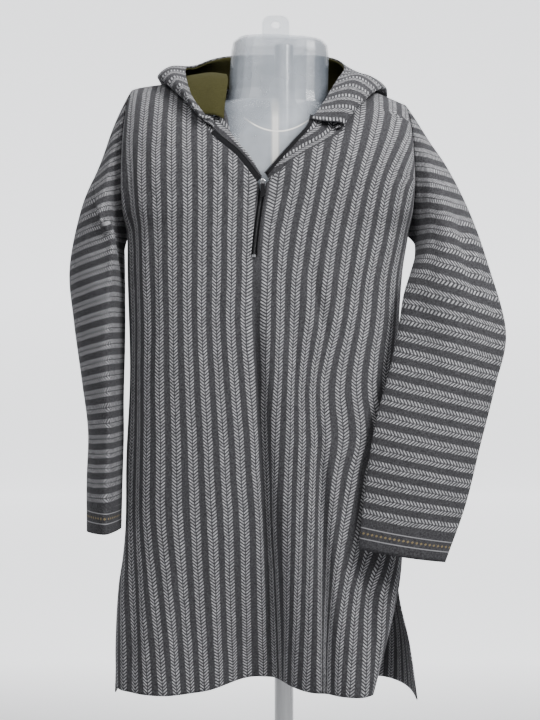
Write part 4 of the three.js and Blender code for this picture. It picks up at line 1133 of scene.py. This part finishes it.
def make_slider():
    """The slider: an arched silver bridge over a small rounded body."""
    c = SLIDER
    front = c["y"] - c["bridge"]
    feet = [Vector((c["x"] + side * c["half"], front, c["z"] + c["foot"])) for side in (-1, 1)]
    turns = [math.pi * (1 - k / ARCH_STEPS) for k in range(ARCH_STEPS + 1)]
    arch = [Vector((c["x"] + c["half"] * math.cos(a), front, c["z"] + 1 + c["rise"] * math.sin(a)))
            for a in turns]
    skin = bar([feet[0], *arch, feet[1]], c["bar"])
    body = bar([Vector((c["x"], c["y"] + c["body"], c["z"] + up)) for up in SLIDER_BODY], c["core"])
    start = len(skin.points)
    skin.points += [Vector((c["x"] + (p.x - c["x"]) * c["widen"], p.y, p.z)) for p in body.points]
    skin.faces += [[start + i for i in face] for face in body.faces]
    skin.marks += body.marks
    dress(skin.object("slider", FINISHES["silver"]), "zip_metal", "zip_slider")


# ---------------------------------------------------------------- camera, floor and light
CAMERA = Vector((-23.6, -2000, 966)) * MM
PIXELS_HIGH, FOCAL_PIXELS, SENSOR = 720, 1187.5, 36


def make_camera():
    data = bpy.data.cameras.new("camera")
    data.sensor_width = SENSOR
    data.lens = SENSOR * FOCAL_PIXELS / PIXELS_HIGH
    camera = bpy.data.objects.new("camera", data)
    camera.location = CAMERA
    camera.rotation_euler = (math.pi / 2, 0, 0)
    bpy.context.scene.collection.objects.link(camera)
    bpy.context.scene.camera = camera


def make_floor():
    """A pale floor that sweeps up into a backdrop, whose far part glows as painted light."""
    half, depth, high, bend, steps = 9.0, 8.0, 8.0, 1.5, 14
    profile = [(-6.0, 0.0), (depth - bend, 0.0)]
    for k in range(1, steps + 1):
        a = k / steps * math.pi / 2
        profile.append((depth - bend + bend * math.sin(a), bend - bend * math.cos(a)))
    profile.append((depth, high))
    points = [Vector((x, y, z - 0.0005)) for x in (-half, half) for y, z in profile]
    count = len(profile)
    faces = [(i, count + i, count + i + 1, i + 1) for i in range(count - 1)]
    mesh = bpy.data.meshes.new("floor")
    mesh.from_pydata(points, [], faces)
    mesh.shade_smooth()
    f = Finish("pale_floor")
    speck = f.noise(f.node("TexCoord", out=3), 3.0, 2.0)
    pale = f.blend(speck, (0.91, 0.91, 0.92, 1), (0.94, 0.94, 0.95, 1))
    depth_along = f.node("SeparateXYZ", f.node("TexCoord", out=3)).node.outputs[1]
    colour = f.blend(f.range(depth_along, 0.3, 1.1), (0.5, 0.5, 0.505, 1), pale)
    # Painted light: from 0.8 m back the floor and backdrop glow, rising to full strength at 1.8 m, in place of
    # lamp light on them.
    mesh.materials.append(f.set(Base_Color=colour, Roughness=0.9, Emission_Color=(0.97, 0.98, 1.0, 1),
                                Emission_Strength=f.range(depth_along, 0.8, 1.8, 0.0, 1.4)))
    floor = bpy.data.objects.new("floor", mesh)
    bpy.context.scene.collection.objects.link(floor)


def area_light(name, place, target, size, power, colour=(1, 1, 1)):
    data = bpy.data.lights.new(name, "AREA")
    data.shape, data.size, data.energy, data.color = "SQUARE", size, power, colour
    light = bpy.data.objects.new(name, data)
    light.location = place
    light.rotation_euler = (Vector(target) - Vector(place)).to_track_quat("-Z", "Y").to_euler()
    bpy.context.scene.collection.objects.link(light)


def make_light():
    centre = (0, 0, 0.95)
    area_light("key", (1.3, -1.5, 2.5), (0, 0, 1.2), 1.0, 92)
    area_light("fill", (-0.9, -2.2, 2.9), (0, 0, 1.3), 1.4, 42)
    area_light("top", (0.1, 0.2, 3.2), centre, 1.8, 26)
    world = bpy.data.worlds.new("world")
    world.use_nodes = True
    world.node_tree.nodes["Background"].inputs[0].default_value = (0.95, 0.96, 1.0, 1)
    world.node_tree.nodes["Background"].inputs[1].default_value = 0.26
    bpy.context.scene.world = world


make_camera()
make_panels()
make_sleeves()
make_hood()
make_open_zip()
make_stitches()
make_slider()
finish_nodes()
make_floor()
make_light()
